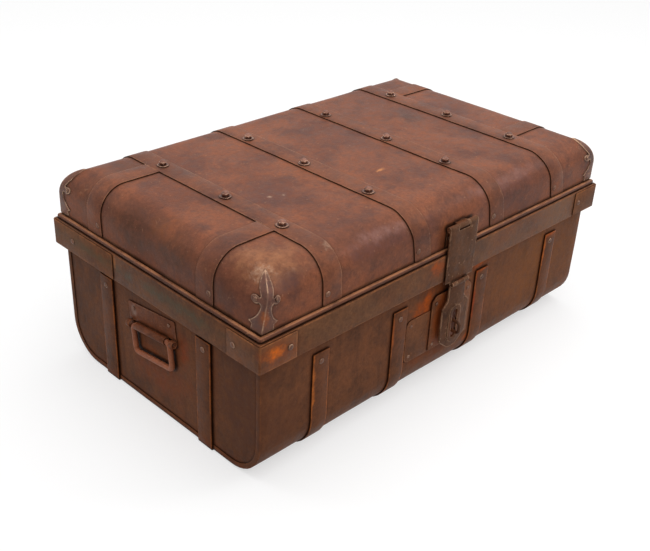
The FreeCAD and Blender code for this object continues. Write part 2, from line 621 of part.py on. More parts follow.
lid_heads = []
for number, (middle, word) in enumerate(zip(strap_middles, strap_words), start=1):
    lean = D(f"strap_lean_{word}")
    across = (f"{middle} - {D('strap_width / 2')}", f"{middle} + {D('strap_width / 2')}")
    strap = rounded_block(
        f"strap_{number}", (across[0], f"{across[1]} + {lean}"), both(STRAP_OUT_Y),
        (STRAP_FOOT, STRAP_TOP), D("lid_round + seam_gap + strap_thick"), flat_along(STRAP_TOP, "x"),
    )
    strap_hollow = rounded_block(
        f"strap_{number}_hollow", (f"{across[0]} - {BEYOND}", f"{across[1]} + {lean} + {BEYOND}"),
        both(STRAP_IN_Y), (f"{STRAP_FOOT} - {BEYOND}", STRAP_UNDER),
        D("lid_round + seam_gap"), flat_along(STRAP_UNDER, "x"),
    )
    bent_strap = doc.addObject("Part::Common", f"strap_{number}_bent")
    bent_strap.Base = cut(f"strap_{number}_cut", strap, strap_hollow)
    bent_strap.Tool = strap_outline(f"strap_{number}", across, lean)
    sub_part(bent_strap, f"lid_strap_{number}")
    lean_at_rivet = f"{lean} * ({LEAN_START} - {STRAP_RIVET_Z}) / ({LEAN_START} - {STRAP_FOOT})"
    for facing, sign, along in (("-y", "-1", lean_at_rivet), ("y", "1", "0")):
        lid_heads.append(big_head(
            f"strap_{number}_head", f"{middle} - {RIVET_SIDE} + {along}",
            f"{sign} * ({STRAP_OUT_Y} + {D('seam_gap')})", STRAP_RIVET_Z, facing,
        ))

OUTER_STRAP_EDGE = D("strap_pitch * 1.5 + strap_width / 2 + seam_gap")


def outer_edge(level, reach):
    """The edge of a lid end strap that is rolled over the lid's end."""
    return lambda edge: flat_along(level, "y")(edge) and near(abs(edge.XMin), value(reach))


for side, sx, facing in (("left", "-1", "-x"), ("right", "1", "x")):
    for depth in ("front", "back"):
        middle = D(f"lid_end_{depth}")
        across = (f"{middle} - {D('strap_width / 2')}", f"{middle} + {D('strap_width / 2')}")
        name = f"lid_end_strap_{depth}_{side}"
        run = sorted((f"{sx} * {OUTER_STRAP_EDGE}", f"{sx} * {STRAP_OUT_X}"), key=value)
        inner_end = f"{sx} * ({OUTER_STRAP_EDGE} - {BEYOND})"
        hollow_run = sorted((inner_end, f"{sx} * {STRAP_IN_X}"), key=value)
        strap = rounded_block(
            f"{name}_block", run, across, (STRAP_FOOT, STRAP_TOP),
            D("lid_round + seam_gap + strap_thick"), outer_edge(STRAP_TOP, STRAP_OUT_X),
        )
        strap_hollow = rounded_block(
            f"{name}_hollow", hollow_run, (f"{across[0]} - {BEYOND}", f"{across[1]} + {BEYOND}"),
            (f"{STRAP_FOOT} - {BEYOND}", STRAP_UNDER),
            D("lid_round + seam_gap"), outer_edge(STRAP_UNDER, STRAP_IN_X),
        )
        sub_part(cut(f"{name}_cut", strap, strap_hollow), name)
        lid_heads.append(big_head(
            f"{name}_head", f"{sx} * ({STRAP_OUT_X} + {D('seam_gap')})", f"{middle} - {RIVET_SIDE}",
            STRAP_RIVET_Z, facing,
        ))
group("lid_strap_rivets", lid_heads)

# Studs hold the straps at three points each: a washer and a domed hexagon head.
washers, studs = [], []
stud_places = [
    D("strap_pitch * -1.5"),
    D("strap_pitch * -0.5 + stud_set_two"),
    D("strap_pitch * 0.5 + stud_set_three"),
    D("strap_pitch * 1.5"),
]
for number, (middle, word) in enumerate(zip(stud_places, strap_words), start=1):
    for y in (f"-{D('stud_row')}", D(f"stud_middle_{word}"), D("stud_row")):
        washer = doc.addObject("Part::Cylinder", f"washer_{number}")
        washer.setExpression("Radius", D("washer_radius"))
        washer.setExpression("Height", D("washer_thick"))
        place(washer, middle, y, f"{STRAP_TOP} + {D('seam_gap')}")
        washers.append(washer)
        flats_z = f"{STRAP_TOP} + {D('seam_gap * 2 + washer_thick')}"
        flats = doc.addObject("Part::Prism", f"stud_{number}_flats")
        flats.Polygon = 6
        flats.setExpression("Circumradius", D("stud_radius"))
        flats.setExpression("Height", D("stud_rise"))
        place(flats, middle, y, flats_z)
        dome = head(
            f"stud_{number}_dome", D("stud_dome_radius"), D("stud_dome"),
            middle, y, f"{flats_z} + {D('stud_rise')}", "z",
        )
        stud = doc.addObject("Part::Fuse", f"stud_{number}")
        stud.Base = flats
        stud.Tool = dome
        studs.append(stud)
group("lid_stud_washers", washers)
group("lid_studs", studs)

# ------------------------------------------------------------------ lid corner leaves
# Pressed plates over the mitred corners, cut to a leaf with two riveted ears and a flared foot.
LEAF_FOOT = D("rim_height + leaf_foot")
LEAF_TOP = D("rim_height + lid_rise + seam_gap + corner_thick")
leaf_outside = rounded_block(
    "leaf_outside", both(D("rim_length / 2 - lid_inset + seam_gap + corner_thick")),
    both(D("rim_depth / 2 - lid_inset + seam_gap + corner_thick")), (LEAF_FOOT, LEAF_TOP),
    D("lid_round + seam_gap + corner_thick"), flat_at(LEAF_TOP),
)
leaf_inside = rounded_block(
    "leaf_inside", both(STRAP_IN_X), both(STRAP_IN_Y), (f"{LEAF_FOOT} - {BEYOND}", STRAP_UNDER),
    D("lid_round + seam_gap"), flat_at(STRAP_UNDER),
)
leaf_skin = cut("leaf_skin", leaf_outside, leaf_inside)

foot, tip = value(D("leaf_foot")), value(D("leaf_tip"))
belly, flare = value(D("leaf_belly")), value(D("leaf_flare"))
ear, ear_side, ear_up = value(D("leaf_ear")), value(D("leaf_ear_side")), value(D("leaf_ear_up"))
flare_up = value(D("leaf_flare_up"))
ear_half_mouth = ear * 0.6  # an ear is a round that opens to the blade along this half chord
ear_root = ear_side - math.sqrt(ear**2 - ear_half_mouth**2)
belly_up = (tip + ear_up) / 2
notch = (value(D("leaf_notch")), ear_up + ear)
waist = (value(D("leaf_waist")), ear_up - ear)
nick = (value(D("leaf_nick")), flare_up - ear_half_mouth)
upper_bow, lower_bow = belly * 0.75, belly * 0.94  # where the blade's edge is halfway up each arc
leaf_right_half = [
    ("arc", (0, tip), (upper_bow, (tip + belly_up) / 2), (belly, belly_up)),
    ("arc", (belly, belly_up), (lower_bow, (belly_up + notch[1]) / 2), notch),
    ("line", notch, (ear_root, ear_up + ear_half_mouth)),
    ("arc", (ear_root, ear_up + ear_half_mouth), (ear_side + ear, ear_up),
     (ear_root, ear_up - ear_half_mouth)),
    ("line", (ear_root, ear_up - ear_half_mouth), waist),
    ("arc", waist, (flare / 2, (waist[1] + flare_up) / 2), (flare, flare_up)),
    ("line", (flare, flare_up), nick),
    ("line", nick, (value(D("leaf_base")), foot)),
]


def leaf_outline(sketch):
    """Draw the right half of the leaf, its mirror image and the foot between them."""
    ends = []
    for mirror in (1, -1):
        for kind, *points in leaf_right_half:
            corners = [Vector(mirror * across, up, 0) for across, up in points]
            curve = Part.Arc(*corners) if kind == "arc" else Part.LineSegment(*corners)
            sketch.addGeometry(curve, False)
        ends.append(corners[-1])
    sketch.addGeometry(Part.LineSegment(*ends), False)


lid_small_heads = []
ear_angle = math.asin((ear_up - value(D("lid_rise - lid_round"))) / value(D("lid_round")))
for depth in ("front", "back"):
    for side in ("left", "right"):
        sx = -1 if side == "left" else 1
        sy = -1 if depth == "front" else 1
        leaf = body(f"leaf_{depth}_{side}")
        sketch = leaf.newObject("Sketcher::SketchObject", f"leaf_{depth}_{side}_outline")
        upright_plane = next(p for p in leaf.Origin.OriginFeatures if p.Role == "XZ_Plane")
        sketch.AttachmentSupport = (upright_plane, [""])
        sketch.MapMode = "FlatFace"
        leaf_outline(sketch)
        pad = leaf.newObject("PartDesign::Pad", f"leaf_{depth}_{side}_pad")
        pad.Profile = sketch
        pad.SideType = "Symmetric"
        pad.setExpression("Length", f"2 * {BEYOND}")
        leaf.Placement = Placement(Vector(), Rotation(Vector(0, 0, 1), 45 if sx == -sy else -45))
        place(leaf, f"{sx} * {LID_X}", f"{sy} * {LID_Y}", LEDGE)
        name = f"lid_corner_leaf_{depth}_{side}"
        common = doc.addObject("Part::Common", f"{name}_common")
        common.Base = leaf_skin
        common.Tool = leaf
        sub_part(common, name)
        # The ears' rivets stand square to the rolled edge.
        reach = value(D("lid_round + seam_gap * 2 + corner_thick"))
        in_from_corner = ear_side * math.sqrt(2)
        up = value(D("rim_height + lid_rise - lid_round")) + reach * math.sin(ear_angle)
        out = reach * math.cos(ear_angle) - value(D("lid_round"))
        lid_small_heads.append(small_head(
            f"{name}_head", sx * (value(LID_X) - in_from_corner), sy * (value(LID_Y) + out), up,
            Vector(0, sy * math.cos(ear_angle), math.sin(ear_angle)),
        ))
        lid_small_heads.append(small_head(
            f"{name}_end_head", sx * (value(LID_X) + out), sy * (value(LID_Y) - in_from_corner), up,
            Vector(sx * math.cos(ear_angle), 0, math.sin(ear_angle)),
        ))

# ------------------------------------------------------------------ back hinges
# Butt hinges outside the back: one leaf on the rim's skirt, one cranked over the bead to the lid.
AXIS_Y = D("rim_depth / 2 + hinge_axis_out")
AXIS_Z = D("rim_height + hinge_axis_up")
KNUCKLE = D("hinge_knuckle")
PIN_BORE = D("pin_radius + pin_clearance")
EAR = D("( hinge_width - hinge_middle ) / 2 - moving_gap")
WEB_TOP_Z = (D("rim_height + hinge_axis_up + hinge_knuckle - hinge_thick / 2"),
             D("rim_height + hinge_axis_up + hinge_knuckle + hinge_thick / 2"))
WEB_FOOT_Z = (D("rim_height + hinge_axis_up - hinge_knuckle - hinge_thick / 2"),
              D("rim_height + hinge_axis_up - hinge_knuckle + hinge_thick / 2"))
HINGE_BORE = D("hinge_width * 2")
body_small_heads = []


def about(middle, half):
    """A stretch that is centred on a middle."""
    return (f"{middle} - {half}", f"{middle} + {half}")


for side, sx in (("left", "-1"), ("right", "1")):
    middle = f"{sx} * {D('hinge_spacing / 2')}"
    whole = about(middle, D("hinge_width / 2"))
    knuckle = about(middle, D("hinge_middle / 2"))
    bore_start = (about(middle, D("hinge_width"))[0], AXIS_Y, AXIS_Z)
    skirt_y = (D("rim_depth / 2 + seam_gap"), D("rim_depth / 2 + seam_gap + hinge_thick"))
    lid_y = (D("rim_depth / 2 - lid_inset + seam_gap"),
             D("rim_depth / 2 - lid_inset + seam_gap + hinge_thick"))
    leaf = body(f"{side}_hinge_body_leaf")
    box(leaf, "plate", whole, skirt_y, (D("rim_height - hinge_leaf_drop"), WEB_FOOT_Z[1]))
    ears = ((whole[0], "left"), (f"{whole[1]} - {EAR}", "right"))
    for start, which in ears:
        box(leaf, f"{which}_web", (start, f"{start} + {EAR}"), (skirt_y[0], AXIS_Y), WEB_FOOT_Z)
        rod(leaf, f"{which}_knuckle", KNUCKLE, (start, AXIS_Y, AXIS_Z), EAR, "x")
    rod(leaf, "bore", PIN_BORE, bore_start, HINGE_BORE, "x", "Subtractive")
    sub_part(leaf, leaf.Name)

    lid_leaf = body(f"{side}_hinge_lid_leaf")
    box(lid_leaf, "plate", whole, lid_y, (WEB_TOP_Z[0], D("rim_height + hinge_leaf_rise")))
    box(lid_leaf, "web", knuckle, (lid_y[0], AXIS_Y), WEB_TOP_Z)
    rod(lid_leaf, "knuckle", KNUCKLE, (knuckle[0], AXIS_Y, AXIS_Z), D("hinge_middle"), "x")
    rod(lid_leaf, "bore", PIN_BORE, bore_start, HINGE_BORE, "x", "Subtractive")
    sub_part(lid_leaf, lid_leaf.Name)

    pin = body(f"{side}_hinge_pin")
    rod(pin, "pin", D("pin_radius"), (whole[0], AXIS_Y, AXIS_Z), D("hinge_width"), "x")
    sub_part(pin, pin.Name)
    for offset in ("-1", "1"):
        x = f"{middle} + {offset} * {D('hinge_width / 2 - small_rivet_radius * 2')}"
        body_small_heads.append(small_head(
            f"{side}_hinge_head", x, f"{skirt_y[1]} + {D('seam_gap')}",
            D("rim_height - hinge_leaf_drop / 2"), "y",
        ))
        lid_small_heads.append(small_head(
            f"{side}_hinge_lid_head", x, f"{lid_y[1]} + {D('seam_gap')}",
            D("rim_height + hinge_rivet_up"), "y",
        ))

# ------------------------------------------------------------------ hasp: plate, leaf and link
# The leaf hangs over its own fixed plate; the slotted link hangs from the leaf over the staple.
HASP_BACK = D("rim_depth / 2 + hasp_stand_off")
HASP_FRONT = D("rim_depth / 2 + hasp_stand_off + hasp_thick")
TOP_AXIS_Y = D("rim_depth / 2 + hasp_stand_off + hasp_thick - hasp_knuckle")
TOP_AXIS_Z = D("rim_height + hasp_axis_up")
LOW_AXIS_Y = D("rim_depth / 2 + hasp_stand_off + link_knuckle")
LOW_AXIS_Z = D("rim_height - link_axis_down")
HASP_BORE = D("hasp_width * 2")
PLATE_Y = (f"-{D('rim_depth / 2 - lid_inset + seam_gap + hinge_thick')}",
           f"-{D('rim_depth / 2 - lid_inset + seam_gap')}")
HASP_Y = (f"-{HASP_FRONT}", f"-{HASP_BACK}")
HASP_X = D("hasp_side")
TOP_BORE_START = (D("hasp_side - hasp_width"), f"-{TOP_AXIS_Y}", TOP_AXIS_Z)
LOW_BORE_START = (D("hasp_side - hasp_width"), f"-{LOW_AXIS_Y}", LOW_AXIS_Z)
TOP_NOTCH = D("hasp_knuckle + moving_gap")
LOW_NOTCH = D("link_knuckle + moving_gap")


def about_hasp(half):
    """A stretch that is centred on the hasp."""
    return about(HASP_X, half)


plate = body("hasp_hinge_plate")
box(plate, "plate", about_hasp(D("hasp_plate_width / 2")), PLATE_Y,
    (D("rim_height + moving_gap + bead_radius * 2 + moving_gap"), TOP_AXIS_Z))
box(plate, "web", about_hasp(D("hasp_middle / 2")), (f"-{TOP_AXIS_Y}", PLATE_Y[1]),
    (f"{TOP_AXIS_Z} + {D('hasp_knuckle - hinge_thick')}", f"{TOP_AXIS_Z} + {D('hasp_knuckle')}"))
box(plate, "riser", about_hasp(D("hasp_middle / 2")), PLATE_Y,
    (TOP_AXIS_Z, f"{TOP_AXIS_Z} + {D('hasp_knuckle')}"))
rod(plate, "knuckle", D("hasp_knuckle"),
    (D("hasp_side - hasp_middle / 2"), f"-{TOP_AXIS_Y}", TOP_AXIS_Z), D("hasp_middle"), "x")
rod(plate, "bore", PIN_BORE, TOP_BORE_START, HASP_BORE, "x", "Subtractive")
sub_part(plate, "hasp_hinge_plate")

for sign in ("-", "+"):
    lid_small_heads.append(small_head(
        "hasp_plate_head", f"{HASP_X} {sign} {D('hasp_plate_width / 2 - small_rivet_radius * 2')}",
        f"{PLATE_Y[0]} - {D('seam_gap')}", D("rim_height + hasp_rivet_up"), "-y",
    ))
group("lid_small_rivets", lid_small_heads)

pin = body("hasp_top_pin")
rod(pin, "pin", D("pin_radius"), (D("hasp_side - hasp_width / 2"), f"-{TOP_AXIS_Y}", TOP_AXIS_Z),
    D("hasp_width"), "x")
sub_part(pin, "hasp_top_pin")

leaf = body("hasp_leaf")
LEAF_EDGE = D("hasp_width / 2")
box(leaf, "plate", about_hasp(LEAF_EDGE), HASP_Y,
    (f"{LOW_AXIS_Z} + {LOW_NOTCH}", f"{TOP_AXIS_Z} - {TOP_NOTCH}"))
for sign in ("-1", "1"):
    ear = sorted((f"{HASP_X} + {sign} * {LEAF_EDGE}",
                  f"{HASP_X} + {sign} * {D('hasp_middle / 2 + moving_gap')}"), key=value)
    box(leaf, "top_ear", ear, HASP_Y, (f"{TOP_AXIS_Z} - {TOP_NOTCH} - {LAP}", TOP_AXIS_Z))
    rod(leaf, "top_knuckle", D("hasp_knuckle"), (ear[0], f"-{TOP_AXIS_Y}", TOP_AXIS_Z),
        f"({ear[1]}) - ({ear[0]})", "x")
    low_ear = sorted((f"{HASP_X} + {sign} * {D('link_neck / 2')}",
                      f"{HASP_X} + {sign} * {D('link_middle / 2 + moving_gap')}"), key=value)
    box(leaf, "low_ear", low_ear, HASP_Y, (LOW_AXIS_Z, f"{LOW_AXIS_Z} + {LOW_NOTCH} + {LAP}"))
    rod(leaf, "low_knuckle", D("link_knuckle"), (low_ear[0], f"-{LOW_AXIS_Y}", LOW_AXIS_Z),
        f"({low_ear[1]}) - ({low_ear[0]})", "x")
rod(leaf, "top_bore", PIN_BORE, TOP_BORE_START, HASP_BORE, "x", "Subtractive")
rod(leaf, "low_bore", PIN_BORE, LOW_BORE_START, HASP_BORE, "x", "Subtractive")
sub_part(leaf, "hasp_leaf")

pin = body("hasp_link_pin")
rod(pin, "pin", D("pin_radius"), (D("hasp_side - link_neck / 2"), f"-{LOW_AXIS_Y}", LOW_AXIS_Z),
    D("link_neck"), "x")
sub_part(pin, "hasp_link_pin")


def polygon(owner, name, points, thickness, front):
    """Pad an outline in the XZ plane, back from the plane y = front, every point bound to the sheet."""
    sketch = owner.newObject("Sketcher::SketchObject", f"{owner.Name}_{name}")
    plane = next(p for p in owner.Origin.OriginFeatures if p.Role == "XZ_Plane")
    sketch.AttachmentSupport = (plane, [""])
    sketch.MapMode = "FlatFace"
    sketch.setExpression("AttachmentOffset.Base.z", f"-({front})")
    corners = [Vector(value(across), value(up), 0) for across, up in points]
    for start, end in zip(corners, corners[1:] + corners[:1]):
        sketch.addGeometry(Part.LineSegment(start, end), False)
    for number, (across, up) in enumerate(points):
        before = (number - 1) % len(points)
        sketch.addConstraint(Sketcher.Constraint("Coincident", before, 2, number, 1))
        for kind, place_text, corner in (
            ("DistanceX", across, corners[number].x), ("DistanceY", up, corners[number].y),
        ):
            index = sketch.addConstraint(Sketcher.Constraint(kind, -1, 1, number, 1, corner))
            sketch.setExpression(f"Constraints[{index}]", place_text)
    pad = owner.newObject("PartDesign::Pad", f"{owner.Name}_{name}_pad")
    pad.Profile = sketch
    pad.setExpression("Length", thickness)
    pad.Reversed = True
    return pad


def below_pin(drop):
    """A height that is measured down from the link's pin."""
    return f"({LOW_AXIS_Z} - {D(drop)})"


link = body("hasp_link")
half_outline = [
    (D("link_neck / 2"), below_pin("link_knuckle + moving_gap")),
    (D("link_neck / 2"), below_pin("link_shoulder - ( link_width - link_neck ) / 2")),
    (D("link_width / 2"), below_pin("link_shoulder")),
    (D("link_width / 2"), below_pin("link_taper")),
    (D("link_tip / 2"), below_pin("link_length")),
]
right_side = [(f"{HASP_X} + {across}", up) for across, up in half_outline]
left_side = [(f"{HASP_X} - {across}", up) for across, up in reversed(half_outline)]
polygon(link, "outline", right_side + left_side, D("hasp_thick"), f"-{HASP_FRONT}")
fillet(link, "corners", D("link_corner"),
       lambda edge: through_y(edge) and not near(edge.ZMax, value(below_pin("link_knuckle + moving_gap"))))
SLOT_MIDDLE = f"({LOW_AXIS_Z} - {D('slot_middle')})"
SLOT_HALF = D("slot_height / 2 - slot_width / 2")
rim_y = (f"-{HASP_FRONT} - {D('slot_rim_rise')}", f"-{HASP_BACK}")
box(link, "slot_rim", about_hasp(D("slot_width / 2 + slot_rim")), rim_y,
    (f"{SLOT_MIDDLE} - {SLOT_HALF}", f"{SLOT_MIDDLE} + {SLOT_HALF}"))
for sign in ("-", "+"):
    rod(link, "slot_rim_end", D("slot_width / 2 + slot_rim"),
        (HASP_X, rim_y[0], f"{SLOT_MIDDLE} {sign} {SLOT_HALF}"), D("hasp_thick + slot_rim_rise"), "y")
box(link, "neck", about_hasp(D("link_middle / 2")), HASP_Y,
    (f"{LOW_AXIS_Z} - {D('link_knuckle + moving_gap')} - {LAP}", LOW_AXIS_Z))
rod(link, "knuckle", D("link_knuckle"),
    (D("hasp_side - link_middle / 2"), f"-{LOW_AXIS_Y}", LOW_AXIS_Z), D("link_middle"), "x")
box(link, "slot", about_hasp(D("slot_width / 2")), (f"{rim_y[0]} - {BEYOND}", "0"),
    (f"{SLOT_MIDDLE} - {SLOT_HALF}", f"{SLOT_MIDDLE} + {SLOT_HALF}"), "Subtractive")
for sign in ("-", "+"):
    rod(link, "slot_end", D("slot_width / 2"),
        (HASP_X, f"{rim_y[0]} - {BEYOND}", f"{SLOT_MIDDLE} {sign} {SLOT_HALF}"),
        f"2 * {BEYOND}", "y", "Subtractive")
rod(link, "bore", PIN_BORE, LOW_BORE_START, HASP_BORE, "x", "Subtractive")
sub_part(link, "hasp_link")

# ------------------------------------------------------------------ staple and its plates
BACKING_BACK = D("rim_depth / 2 - wall_inset + seam_gap")
BACKING_FRONT = D("rim_depth / 2 - wall_inset + seam_gap + backing_thick")
STAPLE_PLATE_BACK = f"({BACKING_FRONT} + {D('seam_gap')})"
STAPLE_PLATE_FRONT = f"({BACKING_FRONT} + {D('seam_gap + staple_plate_thick')})"
BACKING_Y = (f"-{BACKING_FRONT}", f"-{BACKING_BACK}")
STAPLE_PLATE_Y = (f"-{STAPLE_PLATE_FRONT}", f"-{STAPLE_PLATE_BACK}")
backing = body("lock_backing_plate")
box(backing, "plate", (D("backing_left"), D("backing_right")), BACKING_Y,
    (D("rim_height - backing_foot"), D("rim_height - backing_top")))
fillet(backing, "corners", D("backing_corner"), through_y)
sub_part(backing, "lock_backing_plate")

staple_plate = body("staple_plate")
box(staple_plate, "plate", (D("hasp_side + staple_plate_side - staple_plate_width / 2"),
                            D("hasp_side + staple_plate_side + staple_plate_width / 2")), STAPLE_PLATE_Y,
    (D("rim_height - staple_plate_foot"), D("rim_height - staple_plate_top")))
chamfer(staple_plate, "corners", D("staple_plate_cut"),
        lambda edge: through_y(edge) and near(edge.ZMax, value(D("rim_height - staple_plate_top"))))
sub_part(staple_plate, "staple_plate")

FRONT_BAR_Y = f"-{D('rim_depth / 2 + staple_reach')}"
STAPLE_FOOT_Y = f"({STAPLE_PLATE_Y[0]} - {D('seam_gap')})"
STAPLE_BEND = D("staple_bend")
STAPLE_HALF = D("staple_pitch / 2")
STAPLE_Z = D("rim_height - staple_middle")
staple_pieces = []
for sign, turn_angle in (("-", 90), ("+", 0)):
    leg = doc.addObject("Part::Cylinder", "staple_leg")
    leg.setExpression("Radius", D("staple_wire"))
    leg.setExpression("Height", f"{STAPLE_FOOT_Y} - ({FRONT_BAR_Y} + {STAPLE_BEND})")
    leg.Placement = Placement(Vector(), TURNS["y"])
    place(leg, HASP_X, f"{FRONT_BAR_Y} + {STAPLE_BEND}", f"{STAPLE_Z} {sign} {STAPLE_HALF}")
    turn = doc.addObject("Part::Torus", "staple_turn")
    turn.setExpression("Radius1", STAPLE_BEND)
    turn.setExpression("Radius2", D("staple_wire"))
    turn.Angle3 = 90
    # The torus turns in the YZ plane: its own X becomes -Y and its own Y becomes +Z or -Z.
    in_plane = Rotation(Vector(0, -1, 0), Vector(0, 0, 1 if sign == "+" else -1), Vector(), "XYZ")
    turn.Placement = Placement(Vector(), in_plane)
    inwards = "-" if sign == "+" else "+"
    place(turn, HASP_X, f"{FRONT_BAR_Y} + {STAPLE_BEND}",
          f"{STAPLE_Z} {sign} {STAPLE_HALF} {inwards} {STAPLE_BEND}")
    staple_pieces += [leg, turn]
bar = doc.addObject("Part::Cylinder", "staple_bar")
bar.setExpression("Radius", D("staple_wire"))
bar.setExpression("Height", f"2 * ({STAPLE_HALF} - {STAPLE_BEND})")
place(bar, HASP_X, FRONT_BAR_Y, f"{STAPLE_Z} - {STAPLE_HALF} + {STAPLE_BEND}")
staple_pieces.append(bar)
staple = doc.addObject("Part::MultiFuse", "staple")
staple.Shapes = staple_pieces
sub_part(staple, "hasp_staple")

STAPLE_RIVET_SIDE = D("staple_plate_width / 2 - staple_rivet_inset")
for sign in ("-", "+"):
    for level in ("staple_plate_top + staple_rivet_drop", "staple_plate_foot - staple_rivet_inset"):
        body_small_heads.append(small_head(
            "staple_head", f"{D('hasp_side + staple_plate_side')} {sign} {STAPLE_RIVET_SIDE}",
            f"{STAPLE_PLATE_Y[0]} - {D('seam_gap')}", f"{LEDGE} - {D(level)}", "-y",
        ))
for level in ("backing_top + backing_rivet_inset", "backing_foot - backing_rivet_inset"):
    body_small_heads.append(small_head(
        "backing_head", D("backing_left + backing_rivet_inset"),
        f"{BACKING_Y[0]} - {D('seam_gap')}", f"{LEDGE} - {D(level)}", "-y",
    ))

# ------------------------------------------------------------------ handles
# A rod bail hangs in the rolled lower edge of a riveted clip. Built about its pivot, then placed.
ROLL_BORE = D("rod_radius + pin_clearance")
ROLL_OUT = D("rod_radius + pin_clearance + clip_thick")
PIVOT_X = D("rim_length / 2 - wall_inset - sheet_thick + rod_radius + pin_clearance + clip_thick")
PIVOT_Z = D("rim_height - handle_axis_down")
LEG_Y = D("roll_length / 2 + moving_gap + bail_bend")
END_ROLL_Y = D("roll_length / 2 + bail_bend + rod_radius + moving_gap * 2")
END_ROLL = D("clip_width / 2 - roll_length / 2 - bail_bend - rod_radius - moving_gap * 2")
CLIP_BACK = (f"-{ROLL_OUT}", f"-{ROLL_OUT} + {D('clip_thick')}")
PLATE_FOOT = D("rod_radius + moving_gap * 2")


def stand_handle(item, side):
    """Turn a piece that was built facing +X to its end of the trunk and to its tilt."""
    tilt = value(D("left_handle_tilt")) if side == "left" else 0
    turn = Rotation(Vector(0, 0, 1), 180 if side == "left" else 0)
    item.Placement = Placement(Vector(), Rotation(Vector(1, 0, 0), -tilt).multiply(turn))
    sign = "-" if side == "left" else ""
    return place(item, f"{sign}{PIVOT_X}", D("handle_side"), PIVOT_Z)


for side in ("left", "right"):
    clip = body(f"{side}_handle_clip")
    box(clip, "plate", CLIP_BACK, both(D("clip_width / 2")), (PLATE_FOOT, D("clip_rise")))
    box(clip, "neck", CLIP_BACK, both(D("roll_length / 2")), ("0", f"{PLATE_FOOT} + {LAP}"))
    rod(clip, "roll", ROLL_OUT, ("0", f"-{D('roll_length / 2')}", "0"), D("roll_length"), "y")
    for end_roll in ((f"-{D('clip_width / 2')}", f"-{END_ROLL_Y}"), (END_ROLL_Y, D("clip_width / 2"))):
        box(clip, "end_neck", CLIP_BACK, end_roll, ("0", f"{PLATE_FOOT} + {LAP}"))
        rod(clip, "end_roll", ROLL_OUT, ("0", end_roll[0], "0"), END_ROLL, "y")
    rod(clip, "bore", ROLL_BORE, ("0", f"-{D('clip_width')}", "0"), D("clip_width * 2"), "y",
        "Subtractive")
    fillet(clip, "corners", D("clip_corner"),
           lambda edge: through_x(edge) and near(edge.ZMax, value(D("clip_rise"))))
    sub_part(stand_handle(clip, side), clip.Name)

    bail_pieces = []
    for level in ("-bail_drop", "0"):
        level_z = f"-{D('bail_drop')}" if level == "-bail_drop" else "0"
        bar = doc.addObject("Part::Cylinder", "bail_bar")
        bar.Placement = Placement(Vector(), TURNS["y"])
        bar.setExpression("Height", f"2 * ({LEG_Y} - {D('bail_bend')})")
        place(bar, "0", f"-({LEG_Y} - {D('bail_bend')})", level_z)
        bail_pieces.append(bar)
    for sign in ("-", ""):
        leg = doc.addObject("Part::Cylinder", "bail_leg")
        leg.setExpression("Height", D("bail_drop - bail_bend * 2"))
        place(leg, "0", f"{sign}{LEG_Y}", f"-{D('bail_drop')} + {D('bail_bend')}")
        bail_pieces.append(leg)
    for piece in bail_pieces:
        piece.setExpression("Radius", D("rod_radius"))
    for y_way in (-1, 1):
        for z_way in (-1, 1):
            turn = doc.addObject("Part::Torus", "bail_turn")
            turn.setExpression("Radius1", D("bail_bend"))
            turn.setExpression("Radius2", D("rod_radius"))
            turn.Angle3 = 90
            in_plane = Rotation(Vector(0, y_way, 0), Vector(0, 0, z_way), Vector(), "XYZ")
            turn.Placement = Placement(Vector(), in_plane)
            corner_z = f"-{D('bail_drop')} + {D('bail_bend')}" if z_way < 0 else f"-{D('bail_bend')}"
            place(turn, "0", f"{y_way} * ({LEG_Y} - {D('bail_bend')})", corner_z)
            bail_pieces.append(turn)
    bail = doc.addObject("Part::MultiFuse", f"{side}_bail")
    bail.Shapes = bail_pieces
    sub_part(stand_handle(bail, side), f"{side}_handle")

    heads = doc.addObject("Part::Compound", f"{side}_handle_heads")
    heads.Links = [
        small_head(f"{side}_handle_head", f"-{ROLL_OUT} + {D('clip_thick + seam_gap')}",
                   f"{sign}{D('clip_rivet_side')}", D("clip_rivet_up"), "x")
        for sign in ("-", "")
    ]
    body_small_heads.append(stand_handle(heads, side))
group("body_small_rivets", body_small_heads)

# ------------------------------------------------------------------ check and export
doc.recompute()
failed = [item.Name for item in doc.Objects if {"Invalid", "Error"} & set(item.State)]
for item in sub_parts:
    if item.Shape.isNull() or not item.Shape.isValid() or not item.Shape.Solids:
        failed.append(item.Label)
if failed:
    sys.exit("failed: " + ", ".join(failed))
for item in sub_parts:
    item.Shape.exportStep(f"parts/{item.Label}.step")
print(len(sub_parts), "sub-parts written")
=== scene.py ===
import math

import bmesh
import bpy
from mathutils import Matrix, Vector


